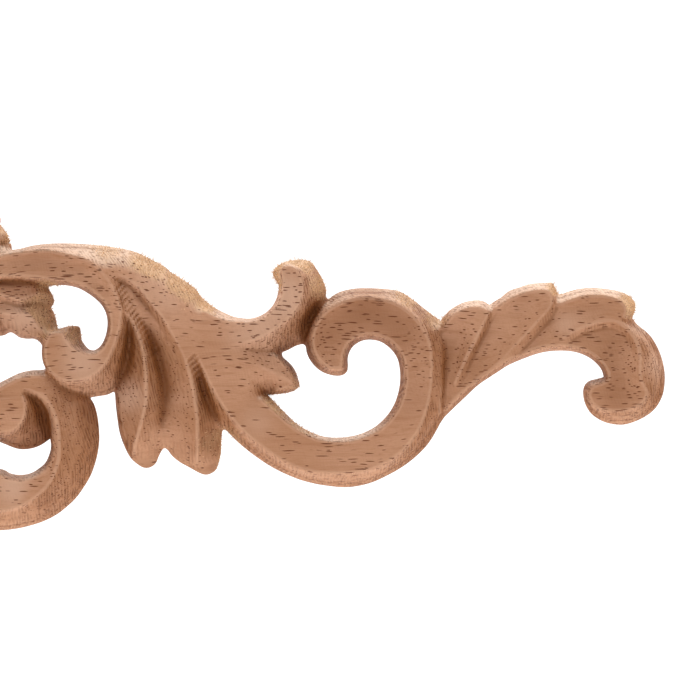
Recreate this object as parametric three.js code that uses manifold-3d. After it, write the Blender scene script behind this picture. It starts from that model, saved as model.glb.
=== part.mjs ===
// Carved wood corner applique: one flat-backed relief of scrolls and leaves, with two equal arms
// that meet in a square corner. It hangs upright in the XZ plane: the flat back is y = 0 and
// faces +Y, the carving faces -Y, the arms run along +X and +Z.
import * as THREE from 'three';
import { mergeVertices } from 'three/addons/utils/BufferGeometryUtils.js';
import Module from 'manifold-3d';

// Driving dimensions, in millimetres.
const armLength = 150;        // outer corner to the end of either arm
const reliefDepth = 9;        // back to the highest crest
const sawnEdge = 1.6;         // upright edge left by the saw all round, before the carved wall starts
const mountFromCorner = 31.6; // outer corner to the mount point, measured along either arm

// The carving is drawn on a square grid and scales with the arm. Grid places are [u, v]: u runs
// along the lower arm and v along the upright arm, both from the outer corner.
const gridPerArm = 969;
const grid = armLength / gridPerArm;

// Facets of the free curves: lengths from one station of a stroke to the next, and sides of a boss.
const stepsOfLeaf = 1;
const stepsOfScroll = 2;
const bossSides = 16;

// How far either way along a stroke its direction is judged, as a share of a station's length.
const slopeReach = 0.02;

// Shoulder of a boss: its share of the way from foot to top, and its share of the height.
const shoulderWay = 0.65;
const shoulderRise = 0.78;

// Points closer than this are one, in millimetres.
const samePlace = 1e-4;

// Sections across a stroke. Each point is [share across, share of the height above the sawn
// edge]: -1 is the right-hand edge and 1 the left-hand edge as seen along the stroke.
const hollow = [[-1, 0], [-0.84, 0.96], [-0.3, 0.78], [0.66, 1], [1, 0]];
const hollowRight = [[-1, 0], [-0.66, 1], [0.1, 0.74], [0.86, 0.82], [1, 0]];
const wideLeftWall = [[-1, 0], [-0.86, 0.9], [-0.4, 0.86], [0.05, 1], [1, 0]];
const wideRightWall = [[-1, 0], [-0.34, 1], [0.2, 0.88], [0.86, 0.9], [1, 0]];
const widestRightWall = [[-1, 0], [0.2, 1], [0.5, 0.92], [0.88, 0.9], [1, 0]];
const crestLeft = [[-1, 0.1], [-0.6, 0.56], [0.42, 1], [0.64, 0.46], [1, 0]];
const crestRight = [[-1, 0], [-0.78, 1], [-0.2, 0.74], [0.7, 0.64], [1, 0]];
const crestInside = [[-1, 0], [-0.6, 0.74], [0.36, 1], [0.66, 0.92], [1, 0]];
const roof = [[-1, 0], [-0.7, 0.5], [0, 1], [0.7, 0.5], [1, 0]];
const slab = [[-1, 0], [-0.74, 0.84], [0, 1], [0.74, 0.84], [1, 0]];

// Strokes of one arm. The sections follow one another at equal shares of the stroke. A station
// is [u, v, half width, height as a share of the relief depth].
const armStrokes = [
  {
    // Band from the fork over the eye into its volute.
    steps: stepsOfScroll,
    sections: [slab, hollow, hollow, hollow, wideLeftWall],
    stations: [
      [170, 150, 8, 0.6], [202, 178, 15, 0.8], [256, 232, 17, 0.9], [306, 262, 16, 0.95],
      [336, 268, 18, 0.97], [364, 267, 21, 0.97], [390, 259, 19, 0.96], [413, 239, 13.5, 0.94],
      [422.5, 211, 11.5, 0.93], [417, 192, 14, 0.92], [411, 175, 18, 0.92], [398, 160, 21, 0.92],
      [380, 154, 24, 0.92], [362, 160, 24, 0.9],
    ],
  },
  {
    // Cut end of the volute.
    steps: stepsOfLeaf,
    sections: [slab, slab],
    stations: [[360, 192, 9, 0.86], [384.5, 198, 8.5, 0.88]],
  },
  {
    // Upper lobe of the frilled leaf.
    steps: stepsOfLeaf,
    sections: [roof, roof],
    stations: [[250, 228, 8, 0.62], [296, 242, 10, 0.68], [334, 240, 12, 0.58], [355, 232, 5, 0.42]],
  },
  {
    // Broad lobe of the frilled leaf.
    steps: stepsOfLeaf,
    sections: [crestRight, slab],
    stations: [
      [240, 218, 9, 0.66], [270, 222, 14, 0.7], [312, 216, 20, 0.66], [344, 213, 18, 0.54],
      [358, 209, 8, 0.42],
    ],
  },
  {
    // Lower lobe of the frilled leaf.
    steps: stepsOfLeaf,
    sections: [roof, roof],
    stations: [[232, 206, 10, 0.6], [262, 206, 13, 0.58], [290, 204, 10, 0.5], [308, 200, 4, 0.36]],
  },
  {
    // Root of the frilled leaf at the volute.
    steps: stepsOfLeaf,
    sections: [slab, slab],
    stations: [[314, 208, 13, 0.4], [336, 202, 11, 0.45], [354, 190, 14, 0.5]],
  },
  {
    // Lower scroll from its tail round to the top.
    steps: stepsOfScroll,
    sections: [slab, wideRightWall, wideRightWall, wideRightWall, crestInside, crestInside],
    stations: [
      [66, 78, 7, 0.56], [92, 66, 13, 0.62], [130, 52, 19, 0.7], [176, 41, 25, 0.76],
      [232, 34, 30, 0.79], [290, 32, 31, 0.8], [333, 34, 26, 0.82], [357, 45, 23.5, 0.84],
      [372, 61, 23.5, 0.85], [379, 82, 24.5, 0.86], [378, 106, 25, 0.86], [368, 130, 24, 0.86],
      [351, 143, 20, 0.86], [330, 146, 15.5, 0.86], [311, 138.5, 14, 0.84], [295, 126, 13, 0.8],
    ],
  },
  {
    // Inner turn of the lower scroll.
    steps: stepsOfLeaf,
    sections: [slab, slab],
    stations: [
      [304, 140, 14, 0.8], [286, 122, 14, 0.78], [277, 98, 14, 0.74], [264, 74, 12, 0.7],
      [242, 54, 8, 0.66],
    ],
  },
  {
    // Broad band, sweep and arch round the large opening.
    steps: stepsOfScroll,
    sections: [
      crestRight, crestRight, crestRight, wideRightWall, wideRightWall, hollowRight, hollowRight,
    ],
    stations: [
      [366, 262, 18, 0.82], [402, 268, 18.5, 0.84], [443, 261, 17.5, 0.86], [484, 227, 22, 0.84],
      [512, 192, 28, 0.8], [538, 152, 29, 0.78], [556, 120, 26, 0.78], [590, 86, 25, 0.82],
      [627, 71, 25.5, 0.84], [655, 70.5, 26, 0.84], [684, 80, 25, 0.82], [708, 99, 25, 0.8],
      [722, 127, 22.5, 0.78], [725.5, 154, 21, 0.78], [721, 184, 24, 0.81], [706, 207, 26.5, 0.85],
      [680, 218, 26, 0.86], [652, 213, 27, 0.85], [634, 196, 26, 0.82], [629, 178, 22, 0.76],
    ],
  },
  {
    // Branch scroll.
    steps: stepsOfScroll,
    sections: [wideRightWall, widestRightWall],
    stations: [
      [492, 208, 20, 0.8], [530, 200, 19.5, 0.9], [558, 196, 19, 0.95], [580, 200, 22, 0.98],
      [594, 214, 23, 0.99], [601, 232, 22, 0.99], [602, 250, 24, 0.97],
    ],
  },
  {
    // Pointed leaf.
    steps: stepsOfLeaf,
    sections: [roof, roof],
    stations: [[532, 170, 14, 0.66], [560, 164, 20, 0.64], [584, 156, 19, 0.54], [603, 146, 3, 0.3]],
  },
  {
    // Bed of the hanging leaf.
    steps: stepsOfLeaf,
    sections: [slab, slab],
    stations: [
      [424, 248, 10, 0.5], [446, 212, 22, 0.42], [462, 174, 38, 0.4], [472, 124, 51, 0.36],
      [475, 94, 48, 0.28],
    ],
  },
  {
    // Left lobe of the hanging leaf.
    steps: stepsOfLeaf,
    sections: [crestLeft, crestLeft],
    stations: [
      [429, 240, 7, 0.72], [435, 202, 15, 0.74], [442, 164, 22, 0.73], [443, 130, 23, 0.68],
      [444, 100, 20, 0.58], [449, 76, 13, 0.44], [453, 65, 6, 0.32],
    ],
  },
  {
    // Right lobe of the hanging leaf.
    steps: stepsOfLeaf,
    sections: [crestLeft, crestLeft],
    stations: [
      [444, 236, 8, 0.76], [466, 194, 14, 0.76], [483, 156, 19, 0.73], [490, 122, 23, 0.68],
      [496, 94, 26, 0.6], [505, 71, 17, 0.44], [512, 58, 6, 0.3],
    ],
  },
  {
    // First husk of the outer stem.
    steps: stepsOfLeaf,
    sections: [crestRight, crestRight],
    stations: [
      [741, 106, 5, 0.6], [752, 144, 11, 0.68], [761, 180, 17, 0.74], [770, 209, 20, 0.77],
      [776, 223, 17, 0.75], [780, 231, 9, 0.7],
    ],
  },
  {
    // Second husk of the outer stem.
    steps: stepsOfLeaf,
    sections: [crestRight, crestRight],
    stations: [
      [744, 118, 8, 0.6], [774, 160, 11, 0.7], [803, 198, 18, 0.78], [828, 226, 20, 0.8],
      [846, 239, 15, 0.78], [857, 244, 7, 0.7],
    ],
  },
  {
    // Third husk of the outer stem.
    steps: stepsOfLeaf,
    sections: [crestRight, crestRight],
    stations: [
      [786, 162, 9, 0.68], [812, 180, 13, 0.74], [842, 199, 19, 0.79], [876, 219, 20, 0.8],
      [912, 227, 18, 0.77], [929, 224, 13, 0.7], [938, 221, 5, 0.6],
    ],
  },
  {
    // Stem and its end curl.
    steps: stepsOfScroll,
    sections: [slab, slab, slab, wideLeftWall],
    stations: [
      [738, 108, 6, 0.58], [778, 150, 9, 0.64], [818, 181, 11, 0.7], [856, 195, 14, 0.74],
      [886, 196, 19, 0.76], [915, 187, 26, 0.77], [934, 168, 29, 0.77], [938, 150, 29, 0.76],
    ],
  },
  {
    // Side lobe of the bud.
    steps: stepsOfLeaf,
    sections: [roof, slab],
    stations: [[244, 240, 7, 0.6], [272, 266, 9, 0.68], [296, 288, 11, 0.64], [311, 298, 7, 0.5]],
  },
  {
    // Lower lobe of the bud.
    steps: stepsOfLeaf,
    sections: [slab, slab],
    stations: [[274, 256, 8, 0.55], [298, 274, 9, 0.55], [314, 286, 6, 0.44]],
  },
  {
    // Great side lobe of the corner leaf.
    steps: stepsOfLeaf,
    sections: [crestRight, crestRight],
    stations: [
      [214, 200, 9, 0.72], [216, 162, 17, 0.76], [202, 122, 19, 0.74], [180, 88, 12, 0.64],
      [164, 68, 4, 0.5],
    ],
  },
  {
    // Small side lobe of the corner leaf.
    steps: stepsOfLeaf,
    sections: [crestRight, crestRight],
    stations: [
      [182, 166, 9, 0.76], [174, 128, 15, 0.78], [152, 92, 16, 0.74], [128, 66, 11, 0.64],
      [112, 50, 4, 0.5],
    ],
  },
  {
    // Tip lobe of the corner leaf.
    steps: stepsOfLeaf,
    sections: [crestRight, crestRight],
    stations: [[126, 112, 8, 0.76], [112, 80, 13, 0.74], [84, 50, 12, 0.64], [58, 30, 4, 0.42]],
  },
];

// Strokes that lie on the line that halves the corner.
const cornerStrokes = [
  {
    // Rib of the corner leaf.
    steps: stepsOfLeaf,
    sections: [roof, roof],
    stations: [
      [262, 262, 9, 0.66], [232, 232, 15, 0.84], [190, 190, 21, 0.94], [140, 140, 21, 0.9],
      [90, 90, 18, 0.8], [50, 50, 12, 0.62], [14, 14, 3, 0.34],
    ],
  },
  {
    // Bed of the corner leaf.
    steps: stepsOfLeaf,
    sections: [slab, slab],
    stations: [[212, 212, 24, 0.5], [170, 170, 58, 0.46], [128, 128, 56, 0.44], [84, 84, 30, 0.4]],
  },
  {
    // Middle lobe of the bud.
    steps: stepsOfLeaf,
    sections: [roof, slab],
    stations: [[250, 250, 8, 0.66], [276, 276, 10, 0.72], [305, 305, 7, 0.56]],
  },
];

// Round bosses: the foot and the top each have a centre and a radius, the top also a height.
const bosses = [
  // Volute face.
  { foot: [368, 179, 24.5], top: [368, 180, 20.5, 0.9] },
  // Eye of the lower scroll.
  { foot: [325, 117, 35.5], top: [308, 121, 26, 0.88] },
  // Head of the branch scroll.
  { foot: [601, 249, 24.5], top: [590, 253, 12, 0.97] },
  // End of the arch.
  { foot: [631, 178, 21.5], top: [632, 181, 16, 0.76] },
  // Swell of the end curl.
  { foot: [936, 147, 32.5], top: [926, 152, 14, 0.66] },
  // End curl.
  { foot: [921, 138, 32.5], top: [914, 146, 22, 0.74] },
];

const wasm = await Module();
wasm.setup();

function cubic(a, b, c, d, t) {
  const slopeIn = (c - a) / 2;
  const slopeOut = (d - b) / 2;
  const rise = c - b;
  const second = 3 * rise - 2 * slopeIn - slopeOut;
  const third = slopeIn + slopeOut - 2 * rise;
  return b + t * (slopeIn + t * (second + t * third));
}

// One smooth station of a stroke, at a place counted in stations from its start.
function stationAt(stations, place) {
  const last = stations.length - 1;
  const index = Math.min(Math.floor(place), last - 1);
  const before = stations[Math.max(index - 1, 0)];
  const here = stations[index];
  const next = stations[index + 1];
  const after = stations[Math.min(index + 2, last)];
  return here.map((value, k) => cubic(before[k], value, next[k], after[k], place - index));
}

// The section at a share of the stroke's length, blended from the two that it lies between.
function sectionAt(list, share) {
  const place = share * (list.length - 1);
  const index = Math.min(Math.floor(place), list.length - 2);
  const blend = place - index;
  return list[index].map(([across, rise], k) => {
    const [nextAcross, nextRise] = list[index + 1][k];
    return [across + blend * (nextAcross - across), rise + blend * (nextRise - rise)];
  });
}

function pointAt(u, v, height, mirrored) {
  const x = (mirrored ? v : u) * grid - mountFromCorner;
  const z = (mirrored ? u : v) * grid - mountFromCorner;
  return [x, -height, z];
}

function heightOf(share, top) {
  return sawnEdge + share * (top * reliefDepth - sawnEdge);
}

// A closed solid from rings of equal length, with its faces turned outwards.
function solidFromRings(rings, caps) {
  const points = rings.flat();
  const count = rings[0].length;
  const faces = [];
  for (let r = 0; r + 1 < rings.length; r++) {
    for (let k = 0; k < count; k++) {
      const a = r * count + k;
      const b = r * count + (k + 1) % count;
      faces.push([a, b, b + count], [a, b + count, a + count]);
    }
  }
  const lastRing = (rings.length - 1) * count;
  for (const [a, b, c] of caps) {
    faces.push([c, b, a], [a + lastRing, b + lastRing, c + lastRing]);
  }
  let volume = 0;
  for (const face of faces) {
    const [a, b, c] = face.map((index) => new THREE.Vector3(...points[index]));
    volume += a.dot(b.cross(c));
  }
  if (volume < 0) faces.forEach((face) => face.reverse());
  const geometry = new THREE.BufferGeometry();
  geometry.setAttribute('position', new THREE.Float32BufferAttribute(points.flat(), 3));
  geometry.setIndex(faces.flat());
  return toManifold(geometry);
}

function toManifold(geometry) {
  const merged = mergeVertices(geometry, samePlace);
  const vertProperties = Float32Array.from(merged.attributes.position.array);
  const triVerts = Uint32Array.from(merged.index.array);
  return new wasm.Manifold(new wasm.Mesh({ numProp: 3, vertProperties, triVerts }));
}

// A stroke is lofted along its stations: its section is square to the line at every step.
function strokeSolid(stroke, mirrored) {
  const spans = stroke.stations.length - 1;
  const steps = spans * stroke.steps;
  const rings = [];
  for (let step = 0; step <= steps; step++) {
    const at = step / stroke.steps;
    const [u, v, halfWidth, top] = stationAt(stroke.stations, at);
    const ahead = stationAt(stroke.stations, Math.min(at + slopeReach, spans));
    const behind = stationAt(stroke.stations, Math.max(at - slopeReach, 0));
    const run = Math.hypot(ahead[0] - behind[0], ahead[1] - behind[1]);
    const leftU = -(ahead[1] - behind[1]) / run;
    const leftV = (ahead[0] - behind[0]) / run;
    const ring = sectionAt(stroke.sections, step / steps).map(([across, rise]) =>
      pointAt(u + halfWidth * across * leftU, v + halfWidth * across * leftV,
        heightOf(rise, top), mirrored));
    const edges = [-halfWidth, halfWidth].map((side) =>
      pointAt(u + side * leftU, v + side * leftV, 0, mirrored));
    rings.push([edges[0], ...ring, edges[1]]);
  }
  return solidFromRings(rings, sectionFaces(stroke.sections[0]));
}

// The triangles that close a section, turned the way its points run.
function sectionFaces(section) {
  const outline = [[-1, 0], ...section.map(([across, rise]) => [across, 1 + rise]), [1, 0]];
  const contour = outline.map(([across, rise]) => new THREE.Vector2(across, rise));
  const way = Math.sign(THREE.ShapeUtils.area(contour));
  return THREE.ShapeUtils.triangulateShape(contour, []).map((face) => {
    const area = THREE.ShapeUtils.area(face.map((index) => contour[index]));
    return Math.sign(area) === way ? face : [...face].reverse();
  });
}

// A boss: an upright sawn edge, a carved wall that leans in, and a level top.
function bossSolid(boss, mirrored) {
  const [footU, footV, footRadius] = boss.foot;
  const [topU, topV, topRadius, top] = boss.top;
  const levels = [
    [footU, footV, footRadius, 0],
    [footU, footV, footRadius, sawnEdge],
    [footU + shoulderWay * (topU - footU), footV + shoulderWay * (topV - footV),
      footRadius + shoulderWay * (topRadius - footRadius), heightOf(shoulderRise, top)],
    [topU, topV, topRadius, heightOf(1, top)],
  ];
  const rings = levels.map(([u, v, radius, height]) => {
    const ring = [];
    for (let k = 0; k < bossSides; k++) {
      const turn = 2 * Math.PI * k / bossSides;
      ring.push(pointAt(u + radius * Math.cos(turn), v + radius * Math.sin(turn), height, mirrored));
    }
    return ring;
  });
  const caps = [];
  for (let k = 1; k + 1 < bossSides; k++) caps.push([0, k, k + 1]);
  return solidFromRings(rings, caps);
}

function carvedGeometry() {
  const solids = [];
  for (const mirrored of [false, true]) {
    solids.push(...armStrokes.map((stroke) => strokeSolid(stroke, mirrored)));
    solids.push(...bosses.map((boss) => bossSolid(boss, mirrored)));
  }
  solids.push(...cornerStrokes.map((stroke) => strokeSolid(stroke, false)));
  const joined = solids.reduce((whole, solid) => whole.add(solid)).getMesh();
  const geometry = new THREE.BufferGeometry();
  geometry.setAttribute('position', new THREE.BufferAttribute(joined.vertProperties, 3));
  geometry.setIndex(new THREE.BufferAttribute(joined.triVerts, 1));
  return geometry;
}

const wood = new THREE.MeshStandardMaterial({ color: 0xc09274, roughness: 0.72, metalness: 0 });
const applique = new THREE.Mesh(carvedGeometry(), wood);
applique.name = 'applique';

const part = new THREE.Group();
part.add(applique);

export default part;
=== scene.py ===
"""Carved wood corner applique: fine relief, wood and torn fibres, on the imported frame."""
import math

import bpy
import numpy as np
from bpy.props import FloatProperty, FloatVectorProperty, IntProperty, PointerProperty
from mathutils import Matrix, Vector
from mathutils.geometry import delaunay_2d_cdt


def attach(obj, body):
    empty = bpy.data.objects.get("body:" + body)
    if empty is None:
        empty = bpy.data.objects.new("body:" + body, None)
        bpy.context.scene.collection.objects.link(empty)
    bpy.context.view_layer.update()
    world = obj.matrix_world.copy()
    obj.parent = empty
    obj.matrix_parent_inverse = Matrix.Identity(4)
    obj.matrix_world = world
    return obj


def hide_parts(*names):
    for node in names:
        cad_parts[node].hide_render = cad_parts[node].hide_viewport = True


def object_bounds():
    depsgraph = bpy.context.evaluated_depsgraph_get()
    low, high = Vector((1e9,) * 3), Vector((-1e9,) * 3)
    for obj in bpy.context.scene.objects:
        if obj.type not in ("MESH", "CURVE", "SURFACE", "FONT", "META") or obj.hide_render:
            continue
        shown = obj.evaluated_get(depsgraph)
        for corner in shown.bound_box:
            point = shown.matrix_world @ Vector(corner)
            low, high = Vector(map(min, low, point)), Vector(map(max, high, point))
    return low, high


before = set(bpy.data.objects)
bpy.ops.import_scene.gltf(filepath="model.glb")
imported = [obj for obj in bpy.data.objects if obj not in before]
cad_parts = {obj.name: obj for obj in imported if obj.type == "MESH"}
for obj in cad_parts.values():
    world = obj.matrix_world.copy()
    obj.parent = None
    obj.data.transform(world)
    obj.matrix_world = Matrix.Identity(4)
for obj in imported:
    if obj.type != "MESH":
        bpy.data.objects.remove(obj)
CAD_LOW, CAD_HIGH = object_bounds()
RELIEF_DEPTH = -CAD_LOW.y

bl_info = {
    "name": "Carved corner applique",
    "version": (1, 0, 0),
    "blender": (4, 5, 0),
    "location": "View3D > Sidebar > Applique",
    "description": "Carves a scrolled wood applique and sets it in a plain studio",
    "category": "Object",
}

NODE = "applique"
BODY = "root"
PIECE_NAME = "carved_applique"
FIBRE_NAME = "torn_fibres"

# The carving is drawn on a square grid: u runs along the lower arm and v along the upright arm,
# both from the outer corner.
GRID_PER_ARM = 969

# The photograph is 700 pixels square, and one of its pixels is one step of the grid. These are the
# grid's places at the photograph's left edge and bottom line, counted in its pixels.
PHOTO_SIDE = 700
PHOTO_LEFT_U = 304
PHOTO_ROW_OF_V0 = 532

# The drawn corner passes into the photographed arm between these two places along the arm.
JOIN_FROM_U = 296
JOIN_TO_U = 312

# The field of heights. Lengths are in steps of the grid where no other unit is named.
FIELD_MARGIN = 6        # free room round the arms
FAR_OUTSIDE = -99.0     # depth inside the outline of a place that isn't carved
SPLINE_STEPS = 8        # straight pieces between two stations of a stroke
BOSS_ROUNDS = 16        # halvings that find how far up a boss's wall a place lies
BOSS_WALL = ((0.0, 0.0), (0.65, 0.78), (1.0, 1.0))    # share of the way up, share of the height
BELL_REACH = 3          # half the width of a bell-shaped average, in its own radii
TINY = 1e-9             # least divisor, and least distance between two places of the outline

# The photographed arm, in steps of the grid where no other unit is named.
OUTLINE_REACH = 6       # distance from the outline that is told apart
ARM_WIDTH = 322         # widest the photographed arm gets
ARM_OVERRUN = 9         # how far past its end the arm is carved
JOIN_KEPT = 4           # how far past the start of the join the drawn heights stand
SKIN_COARSEST = 24      # nodes across the coarsest skin
SKIN_ROUNDS = 60        # rounds that settle the skin
SKIN_PULL = 1.7         # how far past its neighbours' mean a node is moved in a round
SOFT_ROUNDS = 24        # rounds that smooth the soft lines

# Points of the front that lie near the outline are moved onto it.
SNAP_REACH = 0.7        # how near, beside the distance between two nodes of the field
SLOPE_DEPTHS = (-4, 8)  # depths inside the outline, in steps of the grid, that show its direction
LEAST_SLOPE = 0.3       # least slope of that depth that is reckoned with

# Marks of the surface, which the wood's colours follow. Lengths are in metres where no other unit
# is named.
CREST_REACH = 0.00032     # how far round a place its crest is judged
CREST_HEIGHT = 0.0001     # height over its surroundings that counts as a full crest
CREST_RIM = 1             # wood nearer to the outline isn't a crest's surroundings, in grid steps
CREST_MARGIN = 3          # crests are judged this far inside the outline, in grid steps
SHELTER_REACH = 0.0016    # how far round a place its shelter by higher wood is judged
SHELTER_DEPTH = 0.0011    # depth below its surroundings that counts as full shelter
OPEN_DEPTH = 0.5          # how far below the back open air counts as lying, in relief depths
DOWNWARD_WALL_LIGHT = 0.12         # share of the painted light on walls that face down, beside that on walls that face up
TORN_BELOW = 0.88         # share of the relief depth over which nothing is torn
TORN_FADE = 0.05          # share of the relief depth over which the tearing sets in below that
TORN_SPREAD = 1.5         # where the tearing round its place ends, in that place's reach
TORN_BY_STEEPNESS = 2.5   # how much a wall is torn for its steepness
TORN_EDGE = 4             # width of the torn wood along an edge, in grid steps
BACK_MARKS = {"crest": 0.5}    # marks of the flat back; the others are zero

# Noises: usual size of a cell along X, Y and Z, in metres, and how fine their detail is.
NOISES = {
    "light bands": ((0.030, 0.008, 0.010), 2.0),
    "streaks": ((0.018, 0.0006, 0.0008), 3.0),
    "fine fibres": ((0.0025, 0.00012, 0.00014), 2.0),
    "crowding of the pores": ((0.020, 0.015, 0.015), 1.0),
    "bends of the grain": ((0.009, 0.007, 0.007), 1.0),
    "bends of the cutter's marks": ((0.004, 0.004, 0.006), 1.0),
    "gaps in the cutter's marks": ((0.0005, 0.0012, 0.0018), 1.0),
    "colour of torn fibres": ((0.0015, 0.0008, 0.0008), 2.0),
    "clouds of the floor": ((0.2, 0.2, 0.2), 2.0),
}

# Ramps: two values, then what comes out at each of them. Between them it changes smoothly.
RAMPS = {
    "light bands": (0.35, 0.65, 0.0, 1.0),
    "streaks": (0.45, 0.75, 0.0, 0.4),
    "fine fibres": (0.35, 0.75, 0.0, 0.25),
    # Painted light on walls that face up, less where higher wood shelters them.
    "painted light on upward walls": (0.35, 0.9, 0.0, 0.85),
    "upward wall light in the open": (0.5, 0.1, 0.1, 1.0),
    "dark end grain": (0.25, 0.85, 0.0, 1.0),
    # End grain's own darkness, deepened as painted shade where higher wood shelters it.
    "end grain deeper in painted shade": (-0.1, 0.3, 0.55, 1.0),
    # Painted shade and painted light at the listed places.
    "painted shade at listed places": (0.0, 1.0, 0.0, 0.9),
    "painted light at listed places": (0.0, -1.0, 0.0, 0.9),
    # Painted shade in hollows and inside corners.
    "painted shade in sheltered corners": (0.1, 0.8, 0.0, 0.75),
    # Painted shade in the grooves of the cutter's marks.
    "painted shade in cutter's marks on walls": (0.02, 0.45, 0.1, 0.85),
    "painted shade in cutter's marks on end grain": (0.1, 0.9, 0.25, 1.0),
    # Painted highlight on crests.
    "painted highlight on crests": (0.62, 1.0, 0.0, 0.3),
    # Painted shade where the wood lies below its surroundings.
    "painted shade at the feet of crests": (0.4, 0.0, 0.0, 0.45),
    "torn wood": (0.1, 0.8, 0.0, 0.6),
    "crowding of the pores": (0.35, 0.65, 0.35, 1.0),
    "edge of a pore": (1.25, 0.7, 0.0, 1.0),
    "gaps in the cutter's marks": (0.3, 0.65, 0.0, 1.0),
    "depth of the cutter's marks": (0.02, 0.4, 0.15, 1.3),
    "roughness": (0.3, 0.7, 0.62, 0.8),
    "colour of torn fibres": (0.3, 0.7, 0.0, 1.0),
    "clouds of the floor": (0.3, 0.7, 0.0, 0.04),
}

# Finish. Depths are shares of the depth of the cutter's marks.
PORE_DARKNESS = 0.92      # share of the pores' own colour in them
PORE_SHORTEST = 0.35      # shortest pore, as a share of the usual length
PORE_VARIES = 1.2         # how much longer the longest is, as a share of the usual length
PORE_DEPTH = 0.6
FIBRE_DEPTH = 0.35        # of the fine fibres of the whole wood
MARKS_WANDER = 0.0016     # how far the cutter's marks bend, in metres
SHINE = 0.15
TORN_ROUGHNESS = 0.8
FLOOR_ROUGHNESS = 0.9

# Torn fibres: how far they stray from upright, and their least and greatest share of the usual
# thickness, twice, and length.
STRAY_LEAST = (-1.3, -0.5, -0.8)
STRAY_MOST = (1.3, -0.05, 0.8)
FIBRE_LEAST = (0.7, 0.7, 0.35)
FIBRE_MOST = (1.1, 1.1, 1.3)
FIBRE_SHORTEST = 0.5      # length where the wood is hardly torn, as a share of the usual length
FIBRE_GROWS = 0.8         # what is added to it where the wood is fully torn

# The stage. The light of the surroundings changes with the height of a direction, and with how far
# it points back, between these two values each.
LIGHT_HEIGHTS = (-0.6, 0.9)
LIGHT_BACKS = (-1.0, 0.1)
BACKDROP = 1.3            # least brightness of the surroundings in the camera's own sight
LAMP_PLACE = (-0.25, -0.6, 0.75)    # from the middle of the applique, in metres
LAMP_SIZE = 0.5           # in metres
FLOOR_SIDES = 96
FLOOR_CLOUD = (0.6, 0.6, 0.6)

# Sections across a stroke: three points (share across, share of height above the sawn edge) for
# the right rim, the middle and the left rim, then how each half of the face bends: 1 is straight
# and 2 curves smoothly out of the middle.
HOLLOW = ((-0.84, 0.96), (-0.3, 0.78), (0.72, 1.0), 2, 2)
WIDE_LEFT_WALL = ((-0.86, 0.9), (-0.4, 0.86), (0.05, 1.0), 2, 2)
WIDE_RIGHT_WALL = ((-0.34, 1.0), (0.2, 0.88), (0.88, 0.92), 2, 2)
CREST_RIGHT = ((-0.78, 1.0), (-0.2, 0.72), (0.7, 0.64), 2, 2)
CREST_INSIDE = ((-0.6, 0.74), (0.36, 1.0), (0.66, 0.9), 1, 1)
ROOF = ((-0.7, 0.5), (0.0, 1.0), (0.7, 0.5), 1.2, 1.2)
SLAB = ((-0.74, 0.84), (0.0, 1.0), (0.74, 0.84), 2, 2)

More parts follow.
